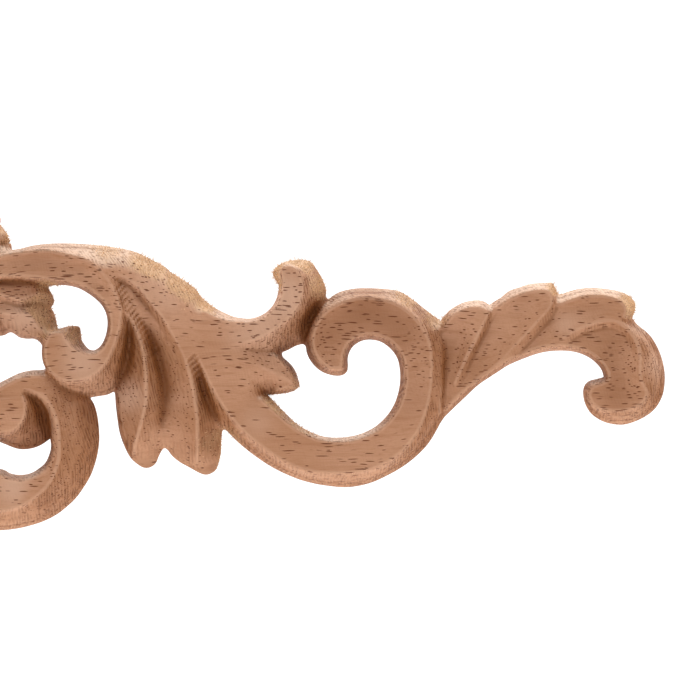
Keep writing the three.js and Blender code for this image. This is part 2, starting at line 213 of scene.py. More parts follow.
# Places on the photograph, in its pixels from the upper left. The outline is a row of smooth runs
# that meet in its corners, and it closes beyond the photograph's left edge.
PHOTO_OUTLINE = (
    # bud and upper edge of the band, as far as the root of the branch scroll's head
    ((-14, 222), (-6, 225), (0, 225), (5, 226.5), (12, 228.4)),
    ((12, 228.4), (9, 232), (6.7, 237.4)),
    ((6.7, 237.4), (10.9, 242.7), (12.1, 250)),
    ((12.1, 250), (21, 248.6), (35, 245.3), (52, 243.6), (70, 243.4), (86, 244.2), (100, 245.5),
     (118, 248), (134, 251.5), (150, 259), (165, 267), (172, 273), (185, 281), (196, 289.5),
     (201, 296.5), (208, 303), (214, 307.3), (225, 313), (236.6, 317.3), (252, 318.3),
     (265.6, 312.7), (274.5, 302.7), (279, 289), (278.5, 284)),
    # head of the branch scroll
    ((278.5, 284), (275, 279), (273, 274), (274.5, 269), (279.8, 264.6), (288, 261.2),
     (302, 259.7), (311.4, 262.5), (316.5, 269), (321.6, 277.6), (326, 288.8), (326, 296),
     (327.8, 300)),
    # arch
    ((327.8, 300), (334.7, 294.5), (344, 290.6), (357, 288.4), (371, 288.2), (387, 289.2),
     (398, 291), (407, 295.5), (417, 303), (428, 311.5), (440.5, 321)),
    # three husks
    ((440.5, 321), (446, 314), (452, 308.5), (463, 302.6), (476, 300.2), (484, 301.6), (489, 305)),
    ((489, 305), (495, 301), (501.5, 297), (509, 291), (519, 287.5), (530, 284), (545, 282.8),
     (552.6, 283)),
    ((552.6, 283), (555, 288), (557.7, 294.5)),
    ((557.7, 294.5), (563, 293.5), (570, 291), (580, 288.7), (592, 287.8), (606, 289),
     (619, 291.5), (629, 296), (634, 302), (635, 309), (632, 318)),
    # end curl
    ((632, 318), (637, 324.5), (644, 330), (651, 337), (657.5, 348), (662, 360), (664.3, 372),
     (664.3, 384), (662, 396), (656, 407), (648, 414.5), (637, 420.5), (624, 424.5), (612, 424),
     (601, 420.5), (591, 413.5), (585, 403.5), (583, 393), (584.5, 385.5), (589, 381),
     (596, 379), (603.6, 377)),
    # lower edge of the stem
    ((603.6, 377), (601.5, 370), (596, 363), (588, 357), (577, 352.5), (565, 350.8), (550, 351.2),
     (538, 353.5), (525, 358), (509, 364.7), (499, 371), (489, 377.5), (480, 383.5), (473, 389.5),
     (462, 400), (452, 409.5), (444.5, 417), (440, 423.5)),
    # lower edge of the sweep
    ((440, 423.5), (436, 431), (431, 439.5), (424, 448.5), (414, 458), (402, 467), (388, 475),
     (374, 481.5), (360, 485.5), (345, 487.2), (330, 486), (315, 483.6), (300, 479.6),
     (286, 474), (272, 467), (261, 460), (248, 450.5), (237, 441), (229, 433), (225, 429)),
    # two lobes of the hanging leaf
    ((225, 429), (222.5, 431), (221.5, 440), (221, 452), (219.5, 460), (217, 468), (213.5, 472),
     (207, 474.6), (200, 473), (189, 467), (180, 462), (172.5, 456), (168, 450), (165, 448)),
    ((165, 448), (162.5, 449.5), (159, 456), (156, 463), (151, 467), (145, 467.8), (139, 465),
     (131, 458), (125, 447), (120, 433), (117.5, 418), (116, 405), (115.3, 395), (114.4, 391.3)),
    # foot of the volute, then the lower scroll
    ((114.4, 391.3), (108, 394.5), (100, 396), (90, 397.5)),
    ((90, 397.5), (94.5, 405), (97.5, 416), (99, 428), (99.4, 440), (98, 452), (95, 464),
     (90.5, 476), (84, 487), (76, 498), (66, 507.5), (56, 515), (44, 521), (32, 525),
     (18, 528.3), (0, 530.5), (-14, 531)),
)
PHOTO_OPENINGS = (
    # inside the volute
    (((48.3, 286), (56, 285.2), (67, 285.5), (78, 288), (86, 292), (94, 297.5), (101, 304),
      (105.5, 311.5), (107.6, 320), (107.3, 329), (105, 338), (101, 345.5), (95, 350),
      (89, 349.5)),
     ((89, 349.5), (85, 345), (81.5, 340)),
     ((81.5, 340), (81, 333), (80, 326.5)),
     ((80, 326.5), (72, 325.8), (64, 327.5), (58, 329.3)),
     ((58, 329.3), (56.5, 322), (54.5, 314), (51, 307.5)),
     ((51, 307.5), (53.5, 304), (54, 299.5), (52, 294), (49.5, 290), (48.3, 286))),
    # under the arch
    (((268, 395), (274, 401.5), (281, 409), (288, 415.5), (294, 421.5), (303, 428), (313, 433),
      (324, 436.5), (338, 437.5), (352, 436), (364, 432.5), (376, 426), (387, 415.5),
      (394.5, 403.5), (398.8, 390), (400.2, 376), (398.5, 362), (394.5, 353.5), (388, 346.5),
      (380, 341.5), (370, 339.7), (361, 341.2), (353.5, 346), (349.5, 352), (347.8, 358.5),
      (348, 365), (347.5, 371)),
     ((347.5, 371), (343.5, 374.7), (336, 375.8), (326, 373.5), (318, 369), (311, 361.5),
      (307, 353.5), (305.5, 346), (302.5, 344)),
     ((302.5, 344), (296, 345.8), (289, 349.5), (282, 352.5)),
     ((282, 352.5), (283, 357), (288, 361.5), (293, 367), (297, 375), (300, 386)),
     ((300, 386), (296, 389.5), (289, 392.5), (279, 394), (268, 395))),
    # under the eye of the lower scroll
    (((-14, 437), (-6, 437.5), (0, 440), (9, 445.5), (20, 449), (31, 448.5), (41, 445),
      (50.5, 438.5)),
     ((50.5, 438.5), (51.3, 446), (50, 453), (46, 462), (39.5, 468), (31, 473), (21, 474.8),
      (11, 473.5), (5, 470), (0, 467.5), (-6, 465), (-14, 463))),
    # between the frilled leaf and the lower scroll
    (((-14, 338), (-6, 336.5), (0, 336), (5, 334.8), (8, 333)),
     ((8, 333), (11.5, 332.4), (15.3, 334.3), (20, 337.5), (27, 338.8), (34, 338.8), (39, 341),
      (42.5, 345.5)),
     ((42.5, 345.5), (42, 353), (43, 361), (46.2, 369.5)),
     ((46.2, 369.5), (38, 370), (30, 370.5), (20, 373), (11, 377), (5, 380.5), (0, 384),
      (-6, 388), (-14, 393))),
)

# Crests, rims, feet and furrows of the carving: places on the photograph, each with its height as
# a share of the relief depth. The wood runs evenly from one line to the next.
RELIEF_LINES = {
    "outer rim of the band and its volute": (
        (-8, 259, 0.94), (0, 257, 0.95), (14, 253, 0.96), (30, 250.8, 0.97), (48, 250, 0.97),
        (62, 252.5, 0.97), (76, 256, 0.965), (88, 259.5, 0.96), (97, 266, 0.96),
        (106, 276, 0.955), (114, 288, 0.95), (119.5, 300, 0.945), (121.8, 312, 0.94),
        (121, 326, 0.935), (117, 340, 0.93), (112.5, 352, 0.925), (107, 362, 0.92),
        (100, 370.5, 0.92), (92, 376.5, 0.92), (82, 380.3, 0.92), (72, 381, 0.92),
        (62, 379, 0.92), (53.5, 373.5, 0.915), (47, 366, 0.91), (44.7, 358, 0.91),
        (44.5, 351, 0.9), (46, 344, 0.89), (49, 338, 0.88), (53, 333, 0.86), (58, 331.3, 0.84)),
    "inner rim of the band and its volute": (
        (-8, 278, 0.91), (0, 277.5, 0.92), (15, 276.5, 0.93), (30, 277.5, 0.93),
        (44, 279.5, 0.93), (56, 281, 0.93), (67, 282.5, 0.93), (79, 285, 0.93), (88, 289, 0.93),
        (96.5, 294.5, 0.93), (104, 302, 0.925), (108.5, 311, 0.92), (110.5, 320, 0.92),
        (110.2, 330, 0.915), (107.5, 340, 0.91), (103, 348, 0.91), (96, 353, 0.905),
        (88, 353, 0.9), (80, 350.5, 0.89), (72, 345.5, 0.88), (67, 338, 0.87), (65, 332, 0.85),
        (58, 331.3, 0.84)),
    "hollow of the band": (
        (-8, 267, 0.85), (0, 264, 0.855), (20, 259.5, 0.86), (45, 258.5, 0.86),
        (65, 262, 0.86), (82, 267.5, 0.86), (92, 275, 0.86), (100, 285, 0.86), (107, 297, 0.865),
        (111.5, 310, 0.87), (114, 322, 0.875), (112, 338, 0.88), (106, 352, 0.885)),
    "foot of the volute": (
        (46.5, 371, 0.8), (52, 378, 0.76), (58, 384, 0.72), (65, 389, 0.66), (73, 392, 0.58),
        (82, 394.5, 0.45), (89, 396.5, 0.28)),
    "foot of the volute along the leaf": (
        (114.6, 390, 0.25), (119, 381, 0.36), (124, 371, 0.42), (128, 358, 0.46),
        (130, 344, 0.52), (130.5, 332, 0.6), (129.5, 323, 0.72), (127, 315, 0.84)),
    "crest of the leaf's left lobe": (
        (122, 300, 0.89), (128, 313, 0.87), (133, 322, 0.86), (138, 331, 0.85),
        (142, 342, 0.84), (145, 355, 0.82), (146.5, 370, 0.79), (147, 385, 0.76),
        (147, 398, 0.73), (145, 410, 0.69), (142, 422, 0.64), (138.5, 434, 0.57),
        (135, 445, 0.48), (133, 453, 0.38)),
    "left side of the leaf's left lobe": (
        (117.5, 390, 0.4), (118.3, 402, 0.42), (120.2, 415, 0.42), (123.2, 430, 0.4),
        (127.8, 443, 0.36), (132, 452, 0.3)),
    "furrow between the leaf's lobes": (
        (130, 304, 0.85), (137, 312, 0.8), (144, 321, 0.71), (150, 332, 0.62), (154, 344, 0.55),
        (157.5, 356, 0.5), (161, 368, 0.47), (164, 380, 0.45), (165.5, 392, 0.43),
        (165, 404, 0.42), (163.5, 416, 0.4), (162.5, 428, 0.38), (163, 438, 0.34),
        (164, 445, 0.26)),
    "left edge of the broad band, then the crest of the leaf's right lobe": (
        (107, 269, 0.91), (116, 273, 0.9), (124, 277, 0.885), (134, 283, 0.875),
        (144, 292, 0.865), (152, 302, 0.86), (163, 316, 0.85), (170, 328, 0.84),
        (177, 340, 0.83), (183, 352, 0.82), (187, 362, 0.81), (190.5, 375, 0.79),
        (193.5, 387, 0.77), (196, 400, 0.74), (197.5, 415, 0.7), (198, 430, 0.64),
        (198, 443, 0.55), (197.5, 455, 0.42), (197, 463, 0.3)),
    "foot of the broad band's left edge": (
        (118, 279, 0.85), (125, 283, 0.8), (133, 289, 0.77), (141, 298, 0.745),
        (149, 309, 0.73), (157, 321, 0.72), (164, 333, 0.715), (171, 346, 0.715),
        (178, 359, 0.72)),
    "furrow between the leaf and the broad band": (
        (193, 357, 0.8), (198, 365, 0.74), (201, 375, 0.66), (203.5, 386, 0.58),
        (206.5, 396, 0.52), (210.5, 406, 0.48), (215.5, 416, 0.44), (220, 424, 0.38),
        (223.5, 428.5, 0.28)),
    "lower ridge of the broad band and the sweep": (
        (196, 354, 0.81), (201, 363, 0.81), (206, 374, 0.8), (212, 386, 0.79),
        (219, 398, 0.785), (226, 409, 0.78), (234, 420, 0.78), (243, 430, 0.78),
        (252, 438, 0.78), (262, 446, 0.78), (274, 454.5, 0.78), (287, 462.5, 0.78),
        (300, 468, 0.78), (315, 471.3, 0.78), (330, 472.6, 0.78), (345, 472.6, 0.78),
        (360, 471, 0.78), (374, 467.5, 0.78), (386, 462.5, 0.78), (396, 455.5, 0.78),
        (405, 447, 0.78), (413, 437, 0.785), (419, 427, 0.79), (424, 414, 0.8),
        (428, 400, 0.82), (430, 386, 0.84), (431, 372, 0.855), (431, 358, 0.865),
        (429.5, 345, 0.87), (425.5, 333, 0.88), (419, 322.5, 0.89), (411, 313.5, 0.9),
        (402, 306.5, 0.91), (392, 301.5, 0.915), (381, 298.7, 0.92), (369, 297, 0.925),
        (357, 297.7, 0.925), (345, 300.5, 0.92), (334, 305.5, 0.91), (325, 312, 0.9),
        (318, 320.5, 0.88), (313.5, 330, 0.86), (311.5, 340, 0.84), (313, 350, 0.82),
        (317.5, 359, 0.8), (324.5, 366, 0.78), (334, 369.5, 0.76), (342, 368.5, 0.75),
        (343.5, 364, 0.76)),
    "shoulder of the sweep's lower wall": (
        (229, 425.5, 0.52), (240, 436.5, 0.56), (252, 446.5, 0.57), (266, 456.5, 0.57),
        (280, 465.5, 0.57), (296, 473, 0.57), (315, 478.4, 0.57), (335, 480.6, 0.57),
        (352, 480, 0.57), (368, 476.5, 0.57), (384, 470.5, 0.57), (398, 462.5, 0.57),
        (410, 453, 0.57), (420, 442.5, 0.57), (428, 431, 0.58), (433, 420, 0.6),
        (435.5, 408, 0.64), (437, 394, 0.7)),
    "inner rim of the sweep and the arch": (
        (262, 399, 0.76), (270, 406, 0.75), (278, 413, 0.74), (287, 420.5, 0.74),
        (296, 427.5, 0.74), (306, 433, 0.74), (318, 437.5, 0.74), (330, 440.2, 0.74),
        (343, 440.5, 0.74), (356, 438.7, 0.74), (368, 434.7, 0.745), (380, 428.2, 0.75),
        (390.5, 418.5, 0.75), (398.5, 406, 0.755), (403.3, 392, 0.76), (404.5, 376, 0.765),
        (402.8, 361, 0.77), (398.3, 350.5, 0.775), (391, 342.7, 0.78), (381, 337.2, 0.785),
        (370, 335.4, 0.79), (359, 337, 0.79), (350.5, 342.2, 0.79), (345.7, 350, 0.785),
        (343.7, 358, 0.77), (343.5, 364, 0.76)),
    "hollow of the arch": (
        (336, 363, 0.68), (329, 354, 0.71), (325, 343, 0.745), (326, 331, 0.775),
        (332, 320, 0.8), (343, 311.5, 0.82), (357, 307.5, 0.83), (371, 307.3, 0.83),
        (385, 310, 0.83), (397, 316, 0.825), (407, 325, 0.82), (413, 337, 0.81),
        (416, 351, 0.8), (417, 366, 0.79), (416, 382, 0.78), (413, 398, 0.77),
        (407, 413, 0.765)),
    "shoulder of the broad band's upper edge": (
        (100, 250.5, 0.55), (118, 253.2, 0.56), (134, 257.5, 0.56), (149, 265.3, 0.56),
        (164, 274.5, 0.56), (179, 284.7, 0.57), (191, 294, 0.58), (199, 302.5, 0.6),
        (211, 311.5, 0.62)),
    "brow of the broad band": (
        (112, 262, 0.84), (126, 266.5, 0.81), (142, 273.5, 0.8), (158, 284.5, 0.8),
        (172, 296.5, 0.8), (184, 308, 0.8), (194, 317, 0.805), (206, 324, 0.81),
        (218, 328, 0.81)),
    "left rim of the branch scroll": (
        (204, 310, 0.74), (212, 314.5, 0.78), (225, 319.5, 0.82), (238, 321.3, 0.86),
        (252, 321.5, 0.88), (264, 317.5, 0.9), (273, 310, 0.92), (279.5, 300, 0.94),
        (282.5, 290, 0.95), (282, 281, 0.95), (281, 273, 0.94), (283, 267.7, 0.93),
        (288, 265.2, 0.93), (295, 267.5, 0.96)),
    "right ridge of the branch scroll": (
        (230, 342.5, 0.81), (242, 342, 0.84), (254, 340, 0.88), (265, 335.5, 0.91),
        (275, 329.5, 0.94), (284, 323, 0.955), (291, 316, 0.965), (297, 308.5, 0.975),
        (300.5, 299, 0.98), (302, 289, 0.985), (301.5, 280, 0.985), (299, 272.5, 0.98),
        (295, 267.5, 0.96)),
    "hollow of the branch scroll": (
        (232, 331, 0.8), (252, 330.5, 0.83), (266, 325.5, 0.86), (277, 316.5, 0.89),
        (286, 304.5, 0.91), (291, 292, 0.925), (291.5, 281, 0.925), (289, 273, 0.925)),
    "shoulder of the branch scroll's wall": (
        (262, 343.5, 0.76), (274, 338.7, 0.74), (285, 332.5, 0.73), (294, 325, 0.73),
        (302, 315, 0.75), (308, 304, 0.78), (312.5, 292, 0.8), (313, 281, 0.8),
        (309, 272, 0.8), (302, 266.5, 0.8), (293, 263.8, 0.74)),
    "foot of the branch scroll on the pointed leaf": (
        (230, 345.5, 0.8), (243, 349, 0.77), (256, 350.5, 0.72), (268, 351, 0.65),
        (277, 352, 0.54), (281.5, 352.5, 0.34)),
    "foot of the branch scroll at the arch": (
        (303, 343, 0.25), (305.5, 335, 0.34), (308.5, 326, 0.42), (312.5, 317, 0.46),
        (317.5, 308, 0.46), (322.5, 302.5, 0.4), (326.5, 299.5, 0.28)),
    "ridge of the pointed leaf": (
        (244, 359, 0.81), (256, 364.5, 0.8), (267, 369, 0.78), (278, 374.5, 0.74),
        (289, 380.5, 0.71), (296, 384.5, 0.64)),
    "upper rim of the pointed leaf": (
        (272, 355.5, 0.69), (279, 357.5, 0.67), (284.5, 363, 0.66), (289.5, 369.5, 0.66),
        (293, 376.5, 0.65), (296, 384.5, 0.64)),
    "lower rim of the pointed leaf": (
        (296, 384.5, 0.64), (291, 388, 0.64), (284, 390, 0.64), (275, 391.3, 0.62)),
    "furrow under the pointed leaf": (
        (248, 383, 0.79), (256, 388, 0.7), (262, 391, 0.57), (267, 394, 0.3)),
    "edge of the arch's outer wall at the stem": (
        (441, 331, 0.55), (441.5, 345, 0.66), (441.5, 360, 0.7), (441, 375, 0.71),
        (440.5, 390, 0.7), (440, 403, 0.64), (440, 413, 0.5), (440, 420, 0.28)),
    "root of the stem": (
        (445, 329, 0.57), (445.5, 345, 0.6), (445.5, 360, 0.62), (445, 375, 0.63),
        (444.5, 390, 0.61), (444, 403, 0.54), (443, 412, 0.4)),
    "rim of the first husk": (
        (443, 327.5, 0.62), (447, 320, 0.68), (454, 313.5, 0.72), (463, 308.5, 0.74),
        (473, 306, 0.76), (481, 307, 0.77), (488, 311.5, 0.78)),
    "right crest of the first husk": (
        (488, 311.5, 0.77), (484, 321, 0.76), (479, 331, 0.75), (474, 342, 0.74),
        (468, 353, 0.735), (463, 364, 0.725), (458, 375, 0.715), (454, 384, 0.7)),
    "foot of the first husk's crest": (
        (497, 312, 0.68), (492, 320, 0.66), (487, 329.5, 0.64), (482, 340, 0.63),
        (476, 351, 0.63), (471, 362, 0.63), (466, 373, 0.64), (461, 382, 0.65)),
    "rim of the second husk": (
        (494, 309, 0.73), (501, 303, 0.75), (510, 297.5, 0.77), (520, 293.5, 0.785),
        (530, 290.5, 0.79), (540, 289, 0.8), (547, 290, 0.81), (551, 294, 0.81)),
    "right crest of the second husk": (
        (551, 294, 0.8), (551.5, 301, 0.79), (548.5, 307.5, 0.785), (542, 315.5, 0.78),
        (534.5, 323.5, 0.775), (527, 332, 0.77), (519, 340, 0.765), (511, 348.5, 0.755),
        (503.5, 357, 0.745), (496.5, 364.5, 0.735), (491, 371, 0.72)),
    "foot of the second husk's crest": (
        (557, 306, 0.7), (554, 313, 0.68), (549, 321, 0.66), (541.5, 329.5, 0.65),
        (534, 338, 0.65), (526, 346.5, 0.66), (519, 354, 0.67), (511, 360, 0.69)),
    "rim of the third husk": (
        (556, 306, 0.73), (561, 303, 0.75), (570, 299, 0.77), (582, 295.5, 0.785),
        (595, 294.3, 0.79), (607, 295.7, 0.79), (617, 299, 0.785), (623.5, 304, 0.775),
        (626, 311, 0.765), (624, 317, 0.77)),
    "crest of the end curl": (
        (562, 338, 0.76), (572, 331.5, 0.775), (581, 327.5, 0.79), (591, 324, 0.8),
        (601, 321.2, 0.805), (611, 320.5, 0.81), (619, 323, 0.81), (626, 328, 0.81),
        (632, 335, 0.81), (636, 343, 0.81), (638.3, 352, 0.805), (639, 361, 0.8),
        (639, 371, 0.79), (640, 381, 0.775)),
    "foot of the end curl's crest": (
        (571, 341, 0.69), (581, 335.5, 0.68), (591, 332, 0.68), (601, 329.3, 0.68),
        (610, 329, 0.69), (616.5, 331.5, 0.7), (622.5, 336.5, 0.7), (627, 342.5, 0.71),
        (630, 349, 0.72), (631.5, 357, 0.73), (632, 366, 0.74)),
    "lower rim of the stem and its curl": (
        (444.5, 411, 0.46), (451, 404, 0.6), (459, 396, 0.65), (468, 388, 0.675),
        (478, 380, 0.69), (488, 373, 0.7), (499, 366.3, 0.705), (510, 360.2, 0.71),
        (522, 354.8, 0.715), (534, 350.2, 0.715), (547, 347.3, 0.715), (560, 346.8, 0.715),
        (572, 347.8, 0.715), (583, 351.2, 0.715), (593, 357, 0.715), (600.5, 364, 0.71),
        (605.5, 371, 0.705), (607, 378, 0.7), (600, 382.7, 0.68), (592, 384.8, 0.66),
        (588, 389, 0.65), (587, 396, 0.64), (589.5, 402, 0.63), (595, 407, 0.63),
        (604, 409.7, 0.635), (615, 410.5, 0.64), (626, 409.5, 0.65), (636, 406, 0.67),
        (643, 400, 0.69), (645.5, 392, 0.72), (640, 381, 0.775)),
    "shoulder of the end curl's wall": (
        (634, 326, 0.58), (641, 333, 0.62), (647, 341, 0.62), (652, 351.5, 0.62),
        (655, 363, 0.62), (656, 376, 0.61), (654.5, 389, 0.59), (650.5, 400, 0.57),
        (643.5, 409, 0.55), (634, 415, 0.52), (622, 418.3, 0.5), (610, 418, 0.48),
        (599, 414, 0.46), (591.5, 407, 0.45)),
    "hollow of the first husk": (
        (453, 322, 0.61), (457, 330, 0.6), (458, 342, 0.6), (455, 354, 0.61),
        (452, 368, 0.64)),
    "hollow of the second husk": (
        (506, 309, 0.67), (514, 306, 0.67), (523, 304, 0.69), (527, 307, 0.7),
        (520, 315, 0.69), (510, 327, 0.68), (499, 341, 0.67), (488, 357, 0.67)),
    "hollow of the third husk": (
        (572, 312, 0.69), (585, 307, 0.69), (598, 305, 0.69), (610, 308, 0.71)),
    "hollow of the end curl": (
        (598, 337, 0.68), (611, 341, 0.67), (618, 352, 0.66), (620, 365, 0.65),
        (621, 380, 0.64), (621, 391, 0.64), (614, 398, 0.65), (602, 398, 0.66)),
    "seam between the band and the frilled leaf": (
        (-8, 283, 0.62), (0, 281.7, 0.63), (15, 281, 0.63), (30, 282, 0.6), (41, 283.2, 0.5),
        (47.5, 285.5, 0.28)),
    "crest of the frilled leaf's upper lobe": (
        (-8, 293.5, 0.74), (0, 295, 0.74), (12, 297.5, 0.73), (23, 300, 0.7), (29, 298, 0.66),
        (36, 294.5, 0.6), (44, 293.5, 0.5), (50, 295, 0.34)),
    "foot of the upper lobe": (
        (-8, 299, 0.62), (0, 301, 0.62), (12, 304, 0.61), (21, 306.5, 0.59), (29, 305, 0.52),
        (37, 303.5, 0.42), (45, 304.5, 0.33), (50.5, 307.3, 0.22)),
    "crest of the frilled leaf's broad lobe": (
        (-8, 311, 0.68), (4, 313, 0.69), (14, 314, 0.7), (23, 313.5, 0.71), (30, 313.5, 0.7),
        (34, 319, 0.69), (38, 326, 0.69), (43, 332, 0.71), (48.5, 336.5, 0.82)),
    "rough end of the broad lobe": (
        (39, 309.5, 0.52), (46, 314, 0.46), (50, 321, 0.46), (53.5, 328.5, 0.5)),
    "lower rim of the broad lobe": (
        (9, 329, 0.4), (14, 331, 0.46), (20, 333.7, 0.5), (28, 335.2, 0.54), (36, 336, 0.6),
        (41, 338.5, 0.66), (44, 343, 0.74)),
    "furrow over the lowest lobe": (
        (-8, 320, 0.58), (0, 322, 0.5), (4, 327, 0.4), (7.5, 332, 0.24)),
    "upper rim of the lower scroll": (
        (-8, 392, 0.81), (0, 388, 0.82), (10, 382, 0.83), (20, 377.5, 0.84), (31, 375, 0.84),
        (40, 374.5, 0.84), (47, 377, 0.82)),
    "edge of the lower scroll at its eye": (
        (14, 391, 0.82), (22, 389.5, 0.84), (30, 389.5, 0.85), (37, 392.5, 0.85),
        (43.5, 398, 0.85), (48.5, 405, 0.84), (52.3, 413, 0.83), (54.5, 422, 0.82),
        (55, 431, 0.81), (54, 440, 0.79), (54.3, 448, 0.78), (53, 456, 0.78),
        (48.7, 465.5, 0.78), (42, 472, 0.78), (33, 477, 0.78), (22, 479, 0.78),
        (11, 477.5, 0.78), (3, 474, 0.78), (-5, 470.5, 0.78)),
    "ridge of the lower scroll": (
        (36, 384, 0.845), (43, 391.5, 0.86), (49.5, 400.5, 0.87), (54.5, 410.5, 0.875),
        (58, 421, 0.875), (60, 433, 0.875), (60.7, 446, 0.87), (60, 458, 0.865),
        (57, 469, 0.86), (52.5, 479, 0.85), (46, 487.5, 0.845), (38, 495, 0.84),
        (29, 501.5, 0.835), (18, 506.5, 0.83), (8, 509, 0.83), (0, 510, 0.825),
        (-8, 510.6, 0.82)),
    "foot of the eye": (
        (25, 392.5, 0.79), (31, 395, 0.72), (38, 400, 0.62), (43.5, 407.5, 0.52),
        (46.7, 416, 0.44), (48.3, 425, 0.36), (49, 433, 0.28), (50, 437.5, 0.21)),
    "rim of the eye": (
        (23, 394.5, 0.845), (26, 400, 0.86), (27, 408, 0.86), (26, 416, 0.855),
        (23, 422.5, 0.84), (18, 428, 0.82), (11, 431.5, 0.8), (3, 433, 0.79),
        (-8, 433, 0.78)),
    "upper edge of the eye": (
        (-8, 400.5, 0.84), (4, 400, 0.85), (14, 400, 0.855), (26, 400, 0.86)),
    "seam over the eye": (
        (-8, 396.5, 0.8), (4, 396, 0.81), (14, 395.5, 0.815), (23, 394.5, 0.83)),
    "shoulder of the lower scroll's wall": (
        (72, 398, 0.55), (79, 407, 0.57), (82.5, 418, 0.58), (84.3, 430, 0.58),
        (84.5, 443, 0.58), (82.8, 456, 0.57), (79, 469, 0.56), (73, 481, 0.55),
        (65, 491.5, 0.54), (55, 500.5, 0.53), (43, 508, 0.53), (30, 513.5, 0.53),
        (16, 517.5, 0.53), (0, 520, 0.53), (-8, 520.8, 0.53)),
}

# Lines whose names start so are places that the smooth wood passes through, and no edges.
SOFT_LINES = ("hollow", "shoulder", "brow")

# Rows of short slanting cuts: first and last place on the photograph, and how many.
FEATHER_ROWS = {
    "upper furrow of the hanging leaf": ((121, 287), (155, 352), 16),
    "furrow beside the broad band": ((193, 358), (206, 392), 8),
}
FEATHER_WAY = (0.6, 0.8)  # direction of a cut
FEATHER_LENGTH = 6        # half its length, in steps of the grid
FEATHER_WIDTH = 1.3       # half its width, in steps of the grid
FEATHER_DEPTH = 0.00045   # in metres

# Where the cutter tore the wood: place on the photograph, reach, and how much is torn.
TORN_PLACES = {
    "end of the branch scroll": (281, 277, 13, 1.0),
    "top of the branch scroll": (300, 264, 16, 0.7),
    "right side of the branch scroll": (320, 286, 14, 0.6),
    "band's upper edge, left": (108, 248, 16, 0.5),
    "band's upper edge, middle": (150, 264, 20, 0.9),
    "band's upper edge, right": (186, 285, 20, 1.0),
    "band's upper edge at the bay": (206, 304, 12, 0.8),
    "opening's edge at the pointed leaf": (275, 406, 14, 0.7),
    "opening's lower edge": (300, 428, 16, 0.5),
    "arch's upper edge": (408, 297, 14, 0.5),
    "notch at the first husk": (436, 318, 12, 0.5),
    "tip of the second husk": (555, 288, 9, 0.8),
    "tip of the third husk": (631, 304, 14, 0.8),
    "side of the hanging leaf": (220, 448, 22, 0.6),
    "end of the frilled leaf": (48, 312, 22, 0.9),
    "lobe of the frilled leaf at the opening": (48, 290, 12, 0.7),
    "cut end of the volute": (77, 333, 12, 0.7),
    "tip of the pointed leaf": (298, 384, 12, 0.4),
    "bud": (6, 232, 12, 0.9),
}

# Painted light and shade at listed places of the carving: painted shade, darker and redder (above
# zero), where faces turn away from the light, and painted light, paler (below zero), where they
# turn towards it: place on the photograph, reach, and how much.
LIGHT_AND_SHADE_PLACES = {
    "upper face of the arch": (366, 304, 30, 0.8),
    "left turn of the arch": (324, 336, 28, 0.6),
    "right turn of the arch": (406, 330, 28, 0.6),
    "right side of the sweep": (414, 396, 34, 0.45),
    "end curl": (608, 345, 30, 0.5),
    "ball of the end curl": (614, 394, 24, 0.55),
    "wall of the end curl": (654, 366, 18, -0.6),
    "first husk": (455, 345, 22, 0.2),
    "root of the second husk": (474, 368, 22, 0.3),
    "upper side of the second husk": (522, 298, 13, 0.4),
    "upper side of the third husk": (586, 300, 14, 0.4),
    "third husk": (590, 318, 22, -0.5),
    "root of the third husk": (563, 326, 14, -0.5),
    "branch scroll": (264, 328, 22, -0.7),
    "neck of the branch scroll": (284, 306, 14, -0.5),
    "head of the branch scroll": (288, 292, 24, -0.8),
    "root of the branch scroll": (236, 338, 20, -0.4),
    "pointed leaf": (277, 368, 20, -0.3),
    "volute": (84, 364, 24, -0.75),
    "frilled leaf": (20, 318, 24, -0.8),
    "torn end of the frilled leaf": (48, 310, 18, -0.9),
    "cut end of the volute": (75, 337, 12, -0.7),
    "bud": (4, 234, 14, -0.8),
    "band": (40, 262, 42, 0.45),
    "upper face of the lower scroll": (16, 487, 22, -0.9),
    "lower face of the lower scroll": (44, 500, 18, 0.7),
    "left lobe of the hanging leaf": (130, 396, 18, -0.8),
    "middle of the hanging leaf": (178, 400, 16, -0.3),
    "right wall of the hanging leaf": (211, 442, 13, 0.9),
    "upper wall of the broad band": (152, 276, 28, -0.5),
    "middle of the broad band": (172, 302, 18, -0.4),
    "left end of the sweep": (258, 422, 22, -0.45),
}

